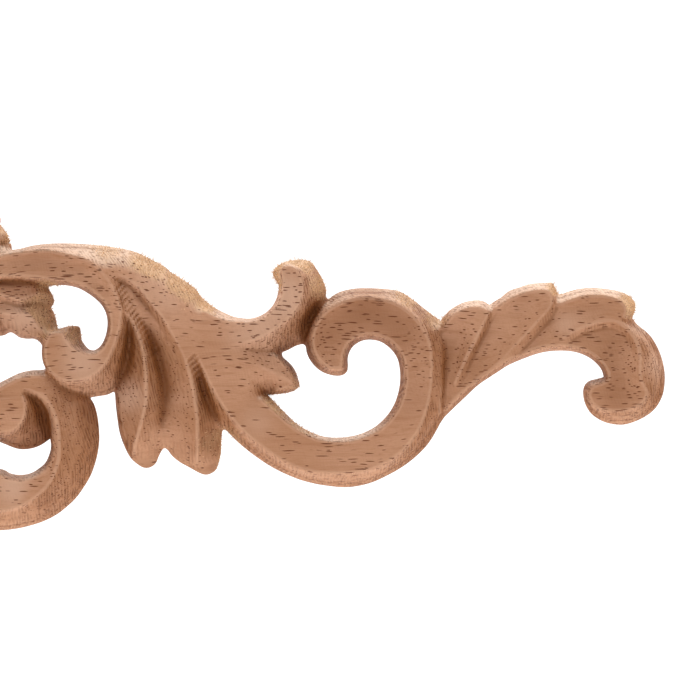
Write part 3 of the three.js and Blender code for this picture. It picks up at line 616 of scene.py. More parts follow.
# Strokes of the corner, which the photograph cuts off. The sections follow one another at equal
# shares of the stroke, and a station is (u, v, half width, height as a share of the relief depth).
ARM_STROKES = {
    "band from the fork over the eye into its volute": (
        (SLAB, HOLLOW, HOLLOW, HOLLOW, WIDE_LEFT_WALL),
        ((170, 150, 8, 0.6), (202, 178, 15, 0.8), (256, 232, 17, 0.9), (306, 262, 16, 0.95),
         (336, 268, 18, 0.97), (364, 267, 21, 0.97), (390, 259, 19, 0.96), (413, 239, 13.5, 0.94),
         (422.5, 211, 11.5, 0.93), (417, 192, 14, 0.92), (411, 175, 18, 0.92), (398, 160, 21, 0.92),
         (380, 154, 24, 0.92), (362, 160, 24, 0.9)),
    ),
    "upper lobe of the frilled leaf": (
        (ROOF, ROOF),
        ((250, 228, 8, 0.62), (296, 242, 10, 0.68), (334, 240, 12, 0.58), (355, 232, 5, 0.42)),
    ),
    "broad lobe of the frilled leaf": (
        (CREST_RIGHT, SLAB),
        ((240, 218, 9, 0.66), (270, 222, 14, 0.7), (312, 216, 20, 0.66), (344, 213, 18, 0.54),
         (358, 209, 8, 0.42)),
    ),
    "lower lobe of the frilled leaf": (
        (ROOF, ROOF),
        ((232, 206, 10, 0.6), (262, 206, 13, 0.58), (290, 204, 10, 0.5), (308, 200, 4, 0.36)),
    ),
    "lower scroll from its tail round to the top": (
        (SLAB, WIDE_RIGHT_WALL, WIDE_RIGHT_WALL, WIDE_RIGHT_WALL, CREST_INSIDE, CREST_INSIDE),
        ((66, 78, 7, 0.56), (92, 66, 13, 0.62), (130, 52, 19, 0.7), (176, 41, 25, 0.76),
         (232, 34, 30, 0.79), (290, 32, 31, 0.8), (333, 34, 26, 0.82), (357, 45, 23.5, 0.84),
         (372, 61, 23.5, 0.85), (379, 82, 24.5, 0.86), (378, 106, 25, 0.86), (368, 130, 24, 0.86),
         (351, 143, 20, 0.86), (330, 146, 15.5, 0.86), (311, 138.5, 14, 0.84), (295, 126, 13, 0.8)),
    ),
    "inner turn of the lower scroll": (
        (SLAB, SLAB),
        ((304, 140, 14, 0.8), (286, 122, 14, 0.78), (277, 98, 14, 0.74), (264, 74, 12, 0.7),
         (242, 54, 8, 0.66)),
    ),
    "side lobe of the bud": (
        (ROOF, SLAB),
        ((244, 240, 7, 0.6), (272, 266, 9, 0.68), (296, 288, 11, 0.64), (311, 298, 7, 0.5)),
    ),
    "lower lobe of the bud": (
        (SLAB, SLAB),
        ((274, 256, 8, 0.55), (298, 274, 9, 0.55), (314, 286, 6, 0.44)),
    ),
    "great side lobe of the corner leaf": (
        (CREST_RIGHT, CREST_RIGHT),
        ((214, 200, 9, 0.72), (216, 162, 17, 0.76), (202, 122, 19, 0.74), (180, 88, 12, 0.64),
         (164, 68, 4, 0.5)),
    ),
    "small side lobe of the corner leaf": (
        (CREST_RIGHT, CREST_RIGHT),
        ((182, 166, 9, 0.76), (174, 128, 15, 0.78), (152, 92, 16, 0.74), (128, 66, 11, 0.64),
         (112, 50, 4, 0.5)),
    ),
    "tip lobe of the corner leaf": (
        (CREST_RIGHT, CREST_RIGHT),
        ((126, 112, 8, 0.76), (112, 80, 13, 0.74), (84, 50, 12, 0.64), (58, 30, 4, 0.42)),
    ),
}

# Strokes that lie on the line that halves the corner.
CORNER_STROKES = {
    "rib of the corner leaf": (
        (ROOF, ROOF),
        ((262, 262, 9, 0.66), (232, 232, 15, 0.84), (190, 190, 21, 0.94), (140, 140, 21, 0.9),
         (90, 90, 18, 0.8), (50, 50, 12, 0.62), (14, 14, 3, 0.34)),
    ),
    "bed of the corner leaf": (
        (SLAB, SLAB),
        ((212, 212, 24, 0.5), (170, 170, 58, 0.46), (128, 128, 56, 0.44), (84, 84, 30, 0.4)),
    ),
    "middle lobe of the bud": (
        (ROOF, SLAB),
        ((250, 250, 8, 0.66), (276, 276, 10, 0.72), (305, 305, 7, 0.56)),
    ),
}

# Round bosses: centre and radius of the foot, then of the top, the top's height as a share of the
# relief depth, and how far its middle swells above its rim as a share of that height.
BOSSES = {
    "eye of the lower scroll": ((325, 117, 35.5), (308, 121, 26), 0.86, 0.05),
}


class CarvedField:
    """Height of the carving, in metres, at the nodes of a fine square grid."""

    def __init__(self, sizes):
        self.grid = sizes.arm_length / GRID_PER_ARM
        self.corner = sizes.mount_from_corner
        self.edge = sizes.sawn_edge
        self.depth = sizes.relief_depth
        self.step = sizes.node_spacing / self.grid / 2
        self.start = -FIELD_MARGIN
        count = 2 * math.ceil((GRID_PER_ARM + 3 * FIELD_MARGIN) / self.step / 2) + 1
        line = self.start + self.step * np.arange(count)
        self.u, self.v = np.meshgrid(line, line, indexing="ij")
        self.height = np.zeros(self.u.shape)
        self.inside = np.full(self.u.shape, FAR_OUTSIDE)

    def window(self, low, high):
        """Slices of the grid's nodes between two places."""
        count = len(self.u)
        first = [int(np.clip((c - self.start) // self.step, 0, count)) for c in low]
        last = [int(np.clip((c - self.start) // self.step + 2, 0, count)) for c in high]
        return tuple(slice(a, b) for a, b in zip(first, last))

    def raise_to(self, window, inside, share, top):
        """Lifts the nodes of a window that lie inside a shape to its height."""
        height = self.edge + share * (top * self.depth - self.edge)
        height = np.where(inside > 0, height, 0)
        np.maximum(self.height[window], height, out=self.height[window])
        np.maximum(self.inside[window], inside, out=self.inside[window])

    def add_stroke(self, sections, stations):
        """A stroke: its section stays square to a smooth line through the stations."""
        line = smooth_line(stations)
        reach = line[:, 2].max() + self.step
        low = line[:, :2].min(axis=0) - reach
        high = line[:, :2].max(axis=0) + reach
        window = self.window(low, high)
        u = self.u[window]
        v = self.v[window]
        near = np.full(u.shape, np.inf)
        place = np.zeros(u.shape)
        side = np.zeros(u.shape)
        beyond = np.zeros(u.shape, dtype=bool)
        last = len(line) - 2
        for index in range(last + 1):
            start = line[index, :2]
            along = line[index + 1, :2] - start
            length = np.hypot(*along)
            along = along / length
            from_u = u - start[0]
            from_v = v - start[1]
            run = from_u * along[0] + from_v * along[1]
            on_line = np.clip(run, 0, length)
            away = (from_u - on_line * along[0]) ** 2 + (from_v - on_line * along[1]) ** 2
            nearer = away < near
            near[nearer] = away[nearer]
            place[nearer] = index + on_line[nearer] / length
            side[nearer] = np.sign(along[0] * from_v - along[1] * from_u)[nearer]
            outside = (run < 0) if index == 0 else np.zeros(u.shape, dtype=bool)
            if index == last:
                outside = outside | (run > length)
            beyond[nearer] = outside[nearer]
        stops = np.arange(len(line))
        half_width = np.interp(place, stops, line[:, 2])
        top = np.interp(place, stops, line[:, 3])
        across = side * np.sqrt(near) / half_width
        inside = np.where(beyond, -half_width, (1 - np.abs(across)) * half_width)
        share = section_rise(sections, place / (last + 1), across)
        self.raise_to(window, inside, share, top)

    def add_boss(self, foot, top, top_share, swell):
        """A round boss whose wall leans from its foot to its top."""
        foot_u, foot_v, foot_radius = foot
        top_u, top_v, top_radius = top
        reach = foot_radius + self.step
        window = self.window((foot_u - reach, foot_v - reach), (foot_u + reach, foot_v + reach))
        u = self.u[window]
        v = self.v[window]
        low = np.zeros(u.shape)
        high = np.ones(u.shape)
        for _ in range(BOSS_ROUNDS):
            level = (low + high) / 2
            radius = foot_radius + (top_radius - foot_radius) * level
            within = np.hypot(u - foot_u - (top_u - foot_u) * level,
                              v - foot_v - (top_v - foot_v) * level) < radius
            low = np.where(within, level, low)
            high = np.where(within, high, level)
        wall = np.interp(low, *zip(*BOSS_WALL))
        from_middle = np.hypot(u - top_u, v - top_v) / top_radius
        dome = swell * np.clip(1 - from_middle ** 2, 0, 1)
        inside = foot_radius - np.hypot(u - foot_u, v - foot_v)
        self.raise_to(window, inside, wall + dome, top_share)

    def mirror(self):
        """Repeats what is carved so far on the other arm."""
        self.height = np.maximum(self.height, self.height.T)
        self.inside = np.maximum(self.inside, self.inside.T)

    def sample(self, values, u, v):
        """Value of a field between its nodes."""
        last = np.nextafter(len(self.u) - 1.0, 0)
        a = np.clip((u - self.start) / self.step, 0, last)
        b = np.clip((v - self.start) / self.step, 0, last)
        i = a.astype(int)
        j = b.astype(int)
        a = a - i
        b = b - j
        return ((1 - a) * (1 - b) * values[i, j] + a * (1 - b) * values[i + 1, j]
                + (1 - a) * b * values[i, j + 1] + a * b * values[i + 1, j + 1])


def smooth_line(stations):
    """Stations of a stroke joined by a smooth curve, as rows of u, v, half width and height."""
    stations = np.array(stations, dtype=float)
    last = len(stations) - 1
    rows = []
    for index in range(last):
        before = stations[max(index - 1, 0)]
        here = stations[index]
        ahead = stations[index + 1]
        after = stations[min(index + 2, last)]
        slope_in = (ahead - before) / 2
        slope_out = (after - here) / 2
        rise = ahead - here
        second = 3 * rise - 2 * slope_in - slope_out
        third = slope_in + slope_out - 2 * rise
        for step in range(SPLINE_STEPS):
            t = step / SPLINE_STEPS
            rows.append(here + t * (slope_in + t * (second + t * third)))
    rows.append(stations[-1])
    return np.array(rows)


def section_rise(sections, share, across):
    """Height share of a point of a stroke: its section is blended from the two it lies between."""
    flat = np.array([[*right, *middle, *left, bend_right, bend_left]
                     for right, middle, left, bend_right, bend_left in sections])
    places = np.linspace(0, 1, len(sections))
    blended = [np.interp(share, places, column) for column in flat.T]
    right, right_rise, middle, middle_rise, left, left_rise, bend_right, bend_left = blended
    to_right = np.clip((middle - across) / (middle - right), 0, 1)
    to_left = np.clip((across - middle) / (left - middle), 0, 1)
    face = np.where(across < middle,
                    middle_rise + (right_rise - middle_rise) * to_right ** bend_right,
                    middle_rise + (left_rise - middle_rise) * to_left ** bend_left)
    right_wall = right_rise * np.clip((across + 1) / (right + 1), 0, 1)
    left_wall = left_rise * np.clip((1 - across) / (1 - left), 0, 1)
    return np.where(across < right, right_wall, np.where(across > left, left_wall, face))


def blurred(values, weight, radius):
    """Weighted bell-shaped average of a field over its neighbours, radius in nodes."""
    reach = math.ceil(BELL_REACH * radius)
    bell = np.exp(-0.5 * (np.arange(-reach, reach + 1) / radius) ** 2)
    total = values * weight
    count = weight.astype(float)
    for axis in (0, 1):
        total = sum(w * np.roll(total, k - reach, axis) for k, w in enumerate(bell))
        count = sum(w * np.roll(count, k - reach, axis) for k, w in enumerate(bell))
    return total / np.maximum(count, TINY)


def photo_places(run):
    """A run of photographed places as a smooth line on the grid."""
    line = smooth_line(run)
    line[:, 0] += PHOTO_LEFT_U
    line[:, 1] = PHOTO_ROW_OF_V0 - line[:, 1]
    return line


def closed_outline(runs):
    """Smooth runs that meet in corners, as one closed line."""
    return np.concatenate([photo_places(run)[:-1] for run in runs])


def depth_in(u, v, loops):
    """Distance of each node to the closed lines, below zero outside them."""
    step = u[1, 0] - u[0, 0]
    away = np.full(u.shape, float(OUTLINE_REACH))
    turns = np.zeros(u.shape, dtype=int)
    for loop in loops:
        for start, end in zip(loop, np.roll(loop, -1, axis=0)):
            low = np.floor((np.minimum(start, end) - OUTLINE_REACH - (u[0, 0], v[0, 0])) / step)
            high = np.ceil((np.maximum(start, end) + OUTLINE_REACH - (u[0, 0], v[0, 0])) / step)
            low = np.clip(low.astype(int), 0, u.shape)
            high = np.clip(high.astype(int) + 1, 0, u.shape)
            window = tuple(slice(a, b) for a, b in zip(low, high))
            along = end - start
            squared = max(np.dot(along, along), TINY)
            from_u = u[window] - start[0]
            from_v = v[window] - start[1]
            share = np.clip((from_u * along[0] + from_v * along[1]) / squared, 0, 1)
            distance = np.hypot(from_u - share * along[0], from_v - share * along[1])
            away[window] = np.minimum(away[window], distance)
            column = u[:, 0]
            crossed = np.nonzero((column >= start[0]) != (column >= end[0]))[0]
            if len(crossed):
                level = start[1] + (column[crossed] - start[0]) / along[0] * along[1]
                row = np.ceil((level - v[0, 0]) / step).astype(int)
                reached = row < u.shape[1]
                np.add.at(turns, (crossed[reached], np.maximum(row[reached], 0)), 1)
    within = np.cumsum(turns, axis=1) % 2 == 1
    return np.where(within, away, -away)


def stretched_skin(height, fixed):
    """Heights between the fixed nodes, as even as a skin stretched over them."""
    if min(height.shape) > SKIN_COARSEST:
        spare = [(0, size % 2) for size in height.shape]
        weight = np.pad(fixed.astype(float), spare)
        total = np.pad(height * fixed, spare)
        shape = (weight.shape[0] // 2, 2, weight.shape[1] // 2, 2)
        weight = weight.reshape(shape).sum(axis=(1, 3))
        total = total.reshape(shape).sum(axis=(1, 3))
        coarse = stretched_skin(total / np.maximum(weight, 1), weight > 0)
        guess = coarse.repeat(2, axis=0).repeat(2, axis=1)
        guess = guess[:height.shape[0], :height.shape[1]]
        height = np.where(fixed, height, guess)
    return settled(height, fixed, SKIN_ROUNDS, SKIN_PULL)


def settled(height, fixed, rounds, pull):
    """Moves each free node towards the mean of its neighbours, time after time."""
    even = np.indices(height.shape).sum(axis=0) % 2 == 0
    turns = (even & ~fixed, ~even & ~fixed)
    for _ in range(rounds):
        for turn in turns:
            wide = np.pad(height, 1, mode="edge")
            mean = (wide[2:, 1:-1] + wide[:-2, 1:-1] + wide[1:-1, 2:] + wide[1:-1, :-2]) / 4
            height = np.where(turn, height + pull * (mean - height), height)
    return height


def feather_cuts(u, v):
    """Depth of the rows of short slanting cuts in the furrows of the hanging leaf."""
    depth = np.zeros(u.shape)
    for start, end, count in FEATHER_ROWS.values():
        for share in np.linspace(0, 1, count):
            x = start[0] + share * (end[0] - start[0]) + PHOTO_LEFT_U
            y = PHOTO_ROW_OF_V0 - start[1] - share * (end[1] - start[1])
            along = (u - x) * FEATHER_WAY[0] + (v - y) * FEATHER_WAY[1]
            across = (v - y) * FEATHER_WAY[0] - (u - x) * FEATHER_WAY[1]
            cut = np.exp(-(across / FEATHER_WIDTH) ** 2 - (along / FEATHER_LENGTH) ** 4)
            depth = np.maximum(depth, FEATHER_DEPTH * cut)
    return depth


def line_heights(field, u, v):
    """Heights along the relief lines, where they run, and which of those nodes are crisp."""
    total = np.zeros(u.shape)
    count = np.zeros(u.shape)
    crisp = np.zeros(u.shape, dtype=bool)
    for name, run in RELIEF_LINES.items():
        line = photo_places(run)
        for start, end in zip(line, line[1:]):
            parts = 2 + int(2 * np.hypot(*(end - start)[:2]) / field.step)
            spots = start + np.linspace(0, 1, parts)[:, None] * (end - start)
            i = np.round((spots[:, 0] - u[0, 0]) / field.step).astype(int)
            j = np.round((spots[:, 1] - v[0, 0]) / field.step).astype(int)
            kept = (i >= 0) & (i < u.shape[0]) & (j >= 0) & (j < u.shape[1])
            np.add.at(total, (i[kept], j[kept]), spots[kept, 2] * field.depth)
            np.add.at(count, (i[kept], j[kept]), 1)
            if not name.startswith(SOFT_LINES):
                crisp[i[kept], j[kept]] = True
    return total / np.maximum(count, 1), count > 0, crisp


def carve_photographed_arm(field):
    """Replaces the field beyond the join by the photographed outline and relief."""
    window = field.window((JOIN_FROM_U - OUTLINE_REACH, field.start),
                          (GRID_PER_ARM + ARM_OVERRUN, ARM_WIDTH))
    u = field.u[window]
    v = field.v[window]
    drawn = field.inside[window]
    loops = [closed_outline(PHOTO_OUTLINE), *map(closed_outline, PHOTO_OPENINGS)]
    join = np.clip((u - JOIN_FROM_U) / (JOIN_TO_U - JOIN_FROM_U), 0, 1)
    inside = ((1 - join) * np.clip(drawn, -OUTLINE_REACH, OUTLINE_REACH)
              + join * depth_in(u, v, loops))
    from_corner = (u < JOIN_FROM_U + JOIN_KEPT) & (drawn > 0)
    height, on_line, crisp = line_heights(field, u, v)
    height = np.where(from_corner, field.height[window], height)
    height = np.where(inside > 0, height, field.edge)
    held = (inside <= 0) | from_corner
    height = stretched_skin(height, held | on_line)
    height = settled(height, held | crisp, SOFT_ROUNDS, 1)
    height = np.where(inside > 0, np.maximum(height - feather_cuts(u, v), field.edge), height)
    for values, carved in ((field.inside, inside), (field.height, height)):
        values[window] = carved
        values.T[window] = carved


def carve(sizes):
    """The whole carving as a field, with its crests and inside corners eased."""
    field = CarvedField(sizes)
    for sections, stations in ARM_STROKES.values():
        field.add_stroke(sections, stations)
    for foot, top, top_share, swell in BOSSES.values():
        field.add_boss(foot, top, top_share, swell)
    field.mirror()
    for sections, stations in CORNER_STROKES.values():
        field.add_stroke(sections, stations)
    carve_photographed_arm(field)
    solid = field.inside > 0
    easing = sizes.tool_easing / field.grid / field.step
    field.height = np.where(solid, blurred(field.height, solid, easing), field.edge)
    return field


def clip_to_outline(points, inside, triangles):
    """Cuts triangles along the outline: all points, with those on it, and what is left of them."""
    points = list(map(tuple, points))
    on_edge = {}
    faces = []
    for triangle in triangles:
        ring = []
        for here, ahead in zip(triangle, np.roll(triangle, -1)):
            if inside[here] >= 0:
                ring.append(int(here))
            if inside[here] * inside[ahead] < 0:
                key = (min(here, ahead), max(here, ahead))
                if key not in on_edge:
                    share = inside[here] / (inside[here] - inside[ahead])
                    start = np.array(points[here])
                    on_edge[key] = len(points)
                    points.append(tuple(start + share * (np.array(points[ahead]) - start)))
                ring.append(on_edge[key])
        faces.extend((ring[0], ring[k], ring[k + 1]) for k in range(1, len(ring) - 1))
    return np.array(points), np.array(faces)


def front_mesh(field):
    """Carved front: places of its points, their heights, and its triangles."""
    nodes_u = field.u[::2, ::2].ravel()
    nodes_v = field.v[::2, ::2].ravel()
    inside = field.inside[::2, ::2].ravel().copy()
    slope_u, slope_v = np.gradient(np.clip(field.inside, *SLOPE_DEPTHS), field.step)
    slope_u = slope_u[::2, ::2].ravel()
    slope_v = slope_v[::2, ::2].ravel()
    steep = np.maximum(np.hypot(slope_u, slope_v), LEAST_SLOPE)
    snap = np.abs(inside) < SNAP_REACH * field.step * steep
    shift = np.where(snap, inside, 0) / steep ** 2
    nodes_u = nodes_u - shift * slope_u
    nodes_v = nodes_v - shift * slope_v
    inside[snap] = 0
    count = len(field.u[::2])
    index = np.arange(count * count).reshape(count, count)
    a = index[:-1, :-1].ravel()
    b = index[1:, :-1].ravel()
    c = index[1:, 1:].ravel()
    d = index[:-1, 1:].ravel()
    height = field.sample(field.height, nodes_u, nodes_v)
    height[inside == 0] = field.edge
    along_ac = np.abs(height[a] - height[c]) < np.abs(height[b] - height[d])
    first = np.where(along_ac[:, None], np.stack([a, b, c], 1), np.stack([a, b, d], 1))
    second = np.where(along_ac[:, None], np.stack([a, c, d], 1), np.stack([b, c, d], 1))
    triangles = np.concatenate([first, second])
    touching = (inside[triangles] > 0).any(axis=1)
    triangles = triangles[touching]
    whole = (inside[triangles] >= 0).all(axis=1)
    places = np.stack([nodes_u, nodes_v], 1)
    places, cut = clip_to_outline(places, inside, triangles[~whole])
    faces = np.concatenate([triangles[whole], cut])
    used, faces = np.unique(faces, return_inverse=True)
    faces = faces.reshape(-1, 3)
    places = places[used]
    height = field.sample(field.height, places[:, 0], places[:, 1])
    height[outline_edges(faces)] = field.edge
    return places, height, faces


def outline_edges(faces):
    """Edges that only one triangle has, in that triangle's direction."""
    edges = np.concatenate([faces[:, [0, 1]], faces[:, [1, 2]], faces[:, [2, 0]]])
    low = edges.min(axis=1)
    high = edges.max(axis=1)
    key = low * (faces.max() + 1) + high
    _, first, count = np.unique(key, return_index=True, return_counts=True)
    return edges[first[count == 1]]


def relief_marks(field, places):
    """Marks of the wood at each place: steepness, cut end grain, painted light on upward walls,
    crests, shelter, tearing, and painted light and shade at listed places.
    """
    metres = field.step * field.grid
    solid = field.inside > 0
    slope_u, slope_v = np.gradient(field.height, metres)
    upright = np.sqrt(1 + slope_u ** 2 + slope_v ** 2)
    steepness = 1 - 1 / upright
    # How far a place stands above its surroundings; the colour uses it for painted highlights on
    # crests and painted shade at their feet.
    broad = blurred(field.height, solid & (field.inside > CREST_RIM), CREST_REACH / metres)
    crest = np.where(solid, field.height - broad, 0) / CREST_HEIGHT
    # Shelter by higher wood, which the colour uses for painted shade in hollows and corners.
    open_beyond = np.where(solid, field.height, -OPEN_DEPTH * field.depth)
    around = blurred(open_beyond, np.ones_like(solid), SHELTER_REACH / metres)
    shelter = np.where(solid, around - field.height, 0) / SHELTER_DEPTH
    fields = {
        "steepness": steepness,
        "end_grain": np.abs(slope_u) / upright,
        # Painted light: full on walls that face up, a small share on walls that face down.
        "upward_wall_light": np.where(slope_v < 0, -slope_v, DOWNWARD_WALL_LIGHT * slope_v) / upright,
        "crest": np.clip((1 + np.where(field.inside > CREST_MARGIN, crest, 0)) / 2, 0, 1),
        "shelter": np.clip(shelter, 0, 1),
        "fuzz": torn_share(field, steepness),
        # Painted shade above zero and painted light below zero, at the listed places.
        "painted_light_shade": sum(strength * np.exp(-away ** 2)
                    for away, strength in near_places(field, LIGHT_AND_SHADE_PLACES)),
    }
    return {name: field.sample(values, places[:, 0], places[:, 1])
            for name, values in fields.items()}


def near_places(field, places):
    """For each named place: how many of its reaches each node lies away, and its strength."""
    along = np.maximum(field.u, field.v)
    across = np.minimum(field.u, field.v)
    for x, y, reach, strength in places.values():
        yield np.hypot(along - PHOTO_LEFT_U - x, across - PHOTO_ROW_OF_V0 + y) / reach, strength


def torn_share(field, steepness):
    """How torn the wood is at each node: at the named places, on edges and steep walls."""
    torn = np.zeros(field.u.shape)
    for away, strength in near_places(field, TORN_PLACES):
        torn = np.maximum(torn, strength * np.clip(TORN_SPREAD - away, 0, 1))
    on_wall = np.clip(steepness * TORN_BY_STEEPNESS, 0, 1)
    on_edge = np.clip(1 - field.inside / TORN_EDGE, 0, 1)
    below_top = np.clip((TORN_BELOW - field.height / field.depth) / TORN_FADE, 0, 1)
    return torn * np.maximum(on_wall, on_edge) * below_top


def new_object(name, points, faces):
    """An object in the scene from points and triangles, all smooth."""
    mesh = bpy.data.meshes.new(name)
    mesh.from_pydata(points.tolist(), [], faces.tolist())
    mesh.shade_smooth()
    thing = bpy.data.objects.new(name, mesh)
    bpy.context.scene.collection.objects.link(thing)
    return thing


def joined_to(first, faces, barriers):
    """Triangles that are reached from the first one without crossing a barrier."""
    beside = {}
    for index, face in enumerate(faces.tolist()):
        for edge in zip(face, face[1:] + face[:1]):
            beside.setdefault(tuple(sorted(edge)), []).append(index)
    ways = [[] for _ in faces]
    for edge, pair in beside.items():
        if len(pair) == 2 and edge not in barriers:
            ways[pair[0]].append(pair[1])
            ways[pair[1]].append(pair[0])
    reached = {first}
    waiting = [first]
    while waiting:
        for index in ways[waiting.pop()]:
            if index not in reached:
                reached.add(index)
                waiting.append(index)
    return sorted(reached)


def back_faces(field, places, rim, edges):
    """Triangles of the flat back, turned away from the carving: they leave its openings free."""
    local = {int(point): k for k, point in enumerate(rim)}
    spots = [Vector(place) for place in places[rim].tolist()]
    sides = [(local[int(a)], local[int(b)]) for a, b in edges]
    found = delaunay_2d_cdt(spots, sides, [], 1, TINY)
    if len(found[0]) != len(spots):
        raise RuntimeError("the outline crosses itself")
    faces = np.array(found[2])
    middle = places[rim][faces].mean(axis=1)
    deepest = int(np.argmax(field.sample(field.inside, middle[:, 0], middle[:, 1])))
    faces = faces[joined_to(deepest, faces, {tuple(sorted(side)) for side in sides})]
    corners = places[rim][faces]
    first = corners[:, 1] - corners[:, 0]
    second = corners[:, 2] - corners[:, 0]
    turn = first[:, 0] * second[:, 1] - first[:, 1] * second[:, 0]
    faces[turn > 0] = faces[turn > 0][:, ::-1]
    return faces


def carved_piece(sizes):
    """The closed mesh: carved front, upright sawn edge and flat back."""
    field = carve(sizes)
    places, height, faces = front_mesh(field)
    edges = outline_edges(faces)
    rim = np.unique(edges)
    if len(edges) != len(rim):
        raise RuntimeError("the outline touches itself")
    count = len(places)
    below = np.zeros(count, dtype=int)
    below[rim] = count + np.arange(len(rim))
    a, b = edges.T
    wall = np.concatenate([np.stack([b, a, below[a]], 1), np.stack([b, below[a], below[b]], 1)])
    back = back_faces(field, places, rim, edges)
    every_place = np.concatenate([places, places[rim]])
    every_height = np.concatenate([height, np.zeros(len(rim))])
    points = np.stack([every_place[:, 0] * field.grid - field.corner,
                       -every_height,
                       every_place[:, 1] * field.grid - field.corner], 1)
    piece = new_object(PIECE_NAME, points, np.concatenate([faces, wall, back + count]))
    marks = relief_marks(field, every_place)
    for name, values in marks.items():
        values[count:] = BACK_MARKS.get(name, 0)
        layer = piece.data.attributes.new(name, "FLOAT", "POINT")
        layer.data.foreach_set("value", values.astype(np.float32))
    mark_sharp(piece.data, set(map(tuple, np.sort(edges, 1).tolist()))
               | set(map(tuple, np.sort(below[edges], 1).tolist())))
    return piece


def mark_sharp(mesh, sharp_edges):
    """Keeps the arrises of the sawn edge crisp."""
    ends = np.empty(2 * len(mesh.edges), dtype=np.int32)
    mesh.edges.foreach_get("vertices", ends)
    ends = np.sort(ends.reshape(-1, 2), 1)
    sharp = [tuple(pair) in sharp_edges for pair in ends.tolist()]
    layer = mesh.attributes.new("sharp_edge", "BOOLEAN", "EDGE")
    layer.data.foreach_set("value", sharp)


def node(tree, kind, inputs=None, **settings):
    """Adds a node with its settings, and with links or plain values for its inputs."""
    made = tree.nodes.new(kind)
    for key, value in settings.items():
        setattr(made, key, value)
    for key, value in (inputs or {}).items():
        if isinstance(value, bpy.types.NodeSocket):
            tree.links.new(value, made.inputs[key])
        else:
            made.inputs[key].default_value = value
    return made


def math_node(tree, operation, first, second=0.5):
    """Output of a math node whose inputs are sockets or numbers."""
    return node(tree, "ShaderNodeMath", {0: first, 1: second}, operation=operation).outputs[0]


def product(tree, first, second):
    """Two sockets or numbers multiplied."""
    return math_node(tree, "MULTIPLY", first, second)


def vector_node(tree, operation, *inputs):
    """Output of a vector math node whose inputs are sockets or vectors."""
    made = node(tree, "ShaderNodeVectorMath", dict(enumerate(inputs)), operation=operation)
    return made.outputs["Value" if operation == "LENGTH" else "Vector"]


def vector_from(tree, *parts):
    """A vector from three sockets or numbers."""
    return node(tree, "ShaderNodeCombineXYZ", dict(enumerate(parts))).outputs[0]


def ramp(tree, value, start, end, low, high):
    """Smooth change from low to high as a value runs from start to end."""
    made = node(tree, "ShaderNodeMapRange",
                {"Value": value, "From Min": start, "From Max": end, "To Min": low, "To Max": high},
                interpolation_type="SMOOTHSTEP")
    return made.outputs["Result"]


def mixed_colour(tree, share, first, second):
    """Output of a colour mix whose share and colours are sockets or plain values."""
    return node(tree, "ShaderNodeMix", {0: share, 6: first, 7: second}, data_type="RGBA").outputs[2]


def new_group(name, inputs, output):
    """An empty shader group, then what comes into it and the socket of its one result."""
    tree = bpy.data.node_groups.new(name, "ShaderNodeTree")
    tree.interface.new_socket("Place", in_out="INPUT", socket_type="NodeSocketVector")
    for label, default in inputs.items():
        socket = tree.interface.new_socket(label, in_out="INPUT", socket_type="NodeSocketFloat")
        socket.default_value = default
    tree.interface.new_socket(output, in_out="OUTPUT", socket_type="NodeSocketFloat")
    result = tree.nodes.new("NodeGroupOutput").inputs[output]
    return tree, tree.nodes.new("NodeGroupInput").outputs, result


def named_noise(tree, place, name):
    """One of the noises, stretched to the size of its cells."""
    cell, detail = NOISES[name]
    scaled = vector_node(tree, "MULTIPLY", place, [1 / size for size in cell])
    made = node(tree, "ShaderNodeTexNoise", {"Vector": scaled, "Scale": 1.0, "Detail": detail})
    return made.outputs["Fac"]


def wandering_grain(tree, place, wander):
    """The place, moved a little across the grain, so that what follows the grain isn't straight."""
    bends = named_noise(tree, place, "bends of the grain")
    shift = product(tree, math_node(tree, "SUBTRACT", bends, 0.5), wander)
    return vector_node(tree, "ADD", place, vector_from(tree, 0.0, shift, shift))


def pore_group():
    """Open vessels of the wood: thin tubes along the grain, cut where the surface meets them."""
    tree, given, result = new_group(
        "wood_pores", {"Cell Length": 0.0024, "Cell Width": 0.0006, "Share Kept": 0.5,
                       "Half Length": 0.0008, "Radius": 0.00009}, "Mask")
    cell = vector_from(tree, given["Cell Length"], given["Cell Width"], given["Cell Width"])
    scaled = vector_node(tree, "DIVIDE", given["Place"], cell)
    voronoi = node(tree, "ShaderNodeTexVoronoi",
                   {"Vector": scaled, "Scale": 1.0, "Randomness": 1.0}).outputs
    away = vector_node(tree, "SUBTRACT", scaled, voronoi["Position"])
    away = vector_node(tree, "MULTIPLY", away, cell)
    chance = node(tree, "ShaderNodeSeparateColor", {0: voronoi["Color"]}).outputs
    longer = math_node(tree, "ADD", product(tree, chance[1], PORE_VARIES), PORE_SHORTEST)
    half_length = product(tree, given["Half Length"], longer)
    tube = vector_from(tree, half_length, given["Radius"], given["Radius"])
    reach = vector_node(tree, "LENGTH", vector_node(tree, "DIVIDE", away, tube))
    body = ramp(tree, reach, *RAMPS["edge of a pore"])
    kept = math_node(tree, "LESS_THAN", chance[0], given["Share Kept"])
    tree.links.new(product(tree, body, kept), result)
    return tree


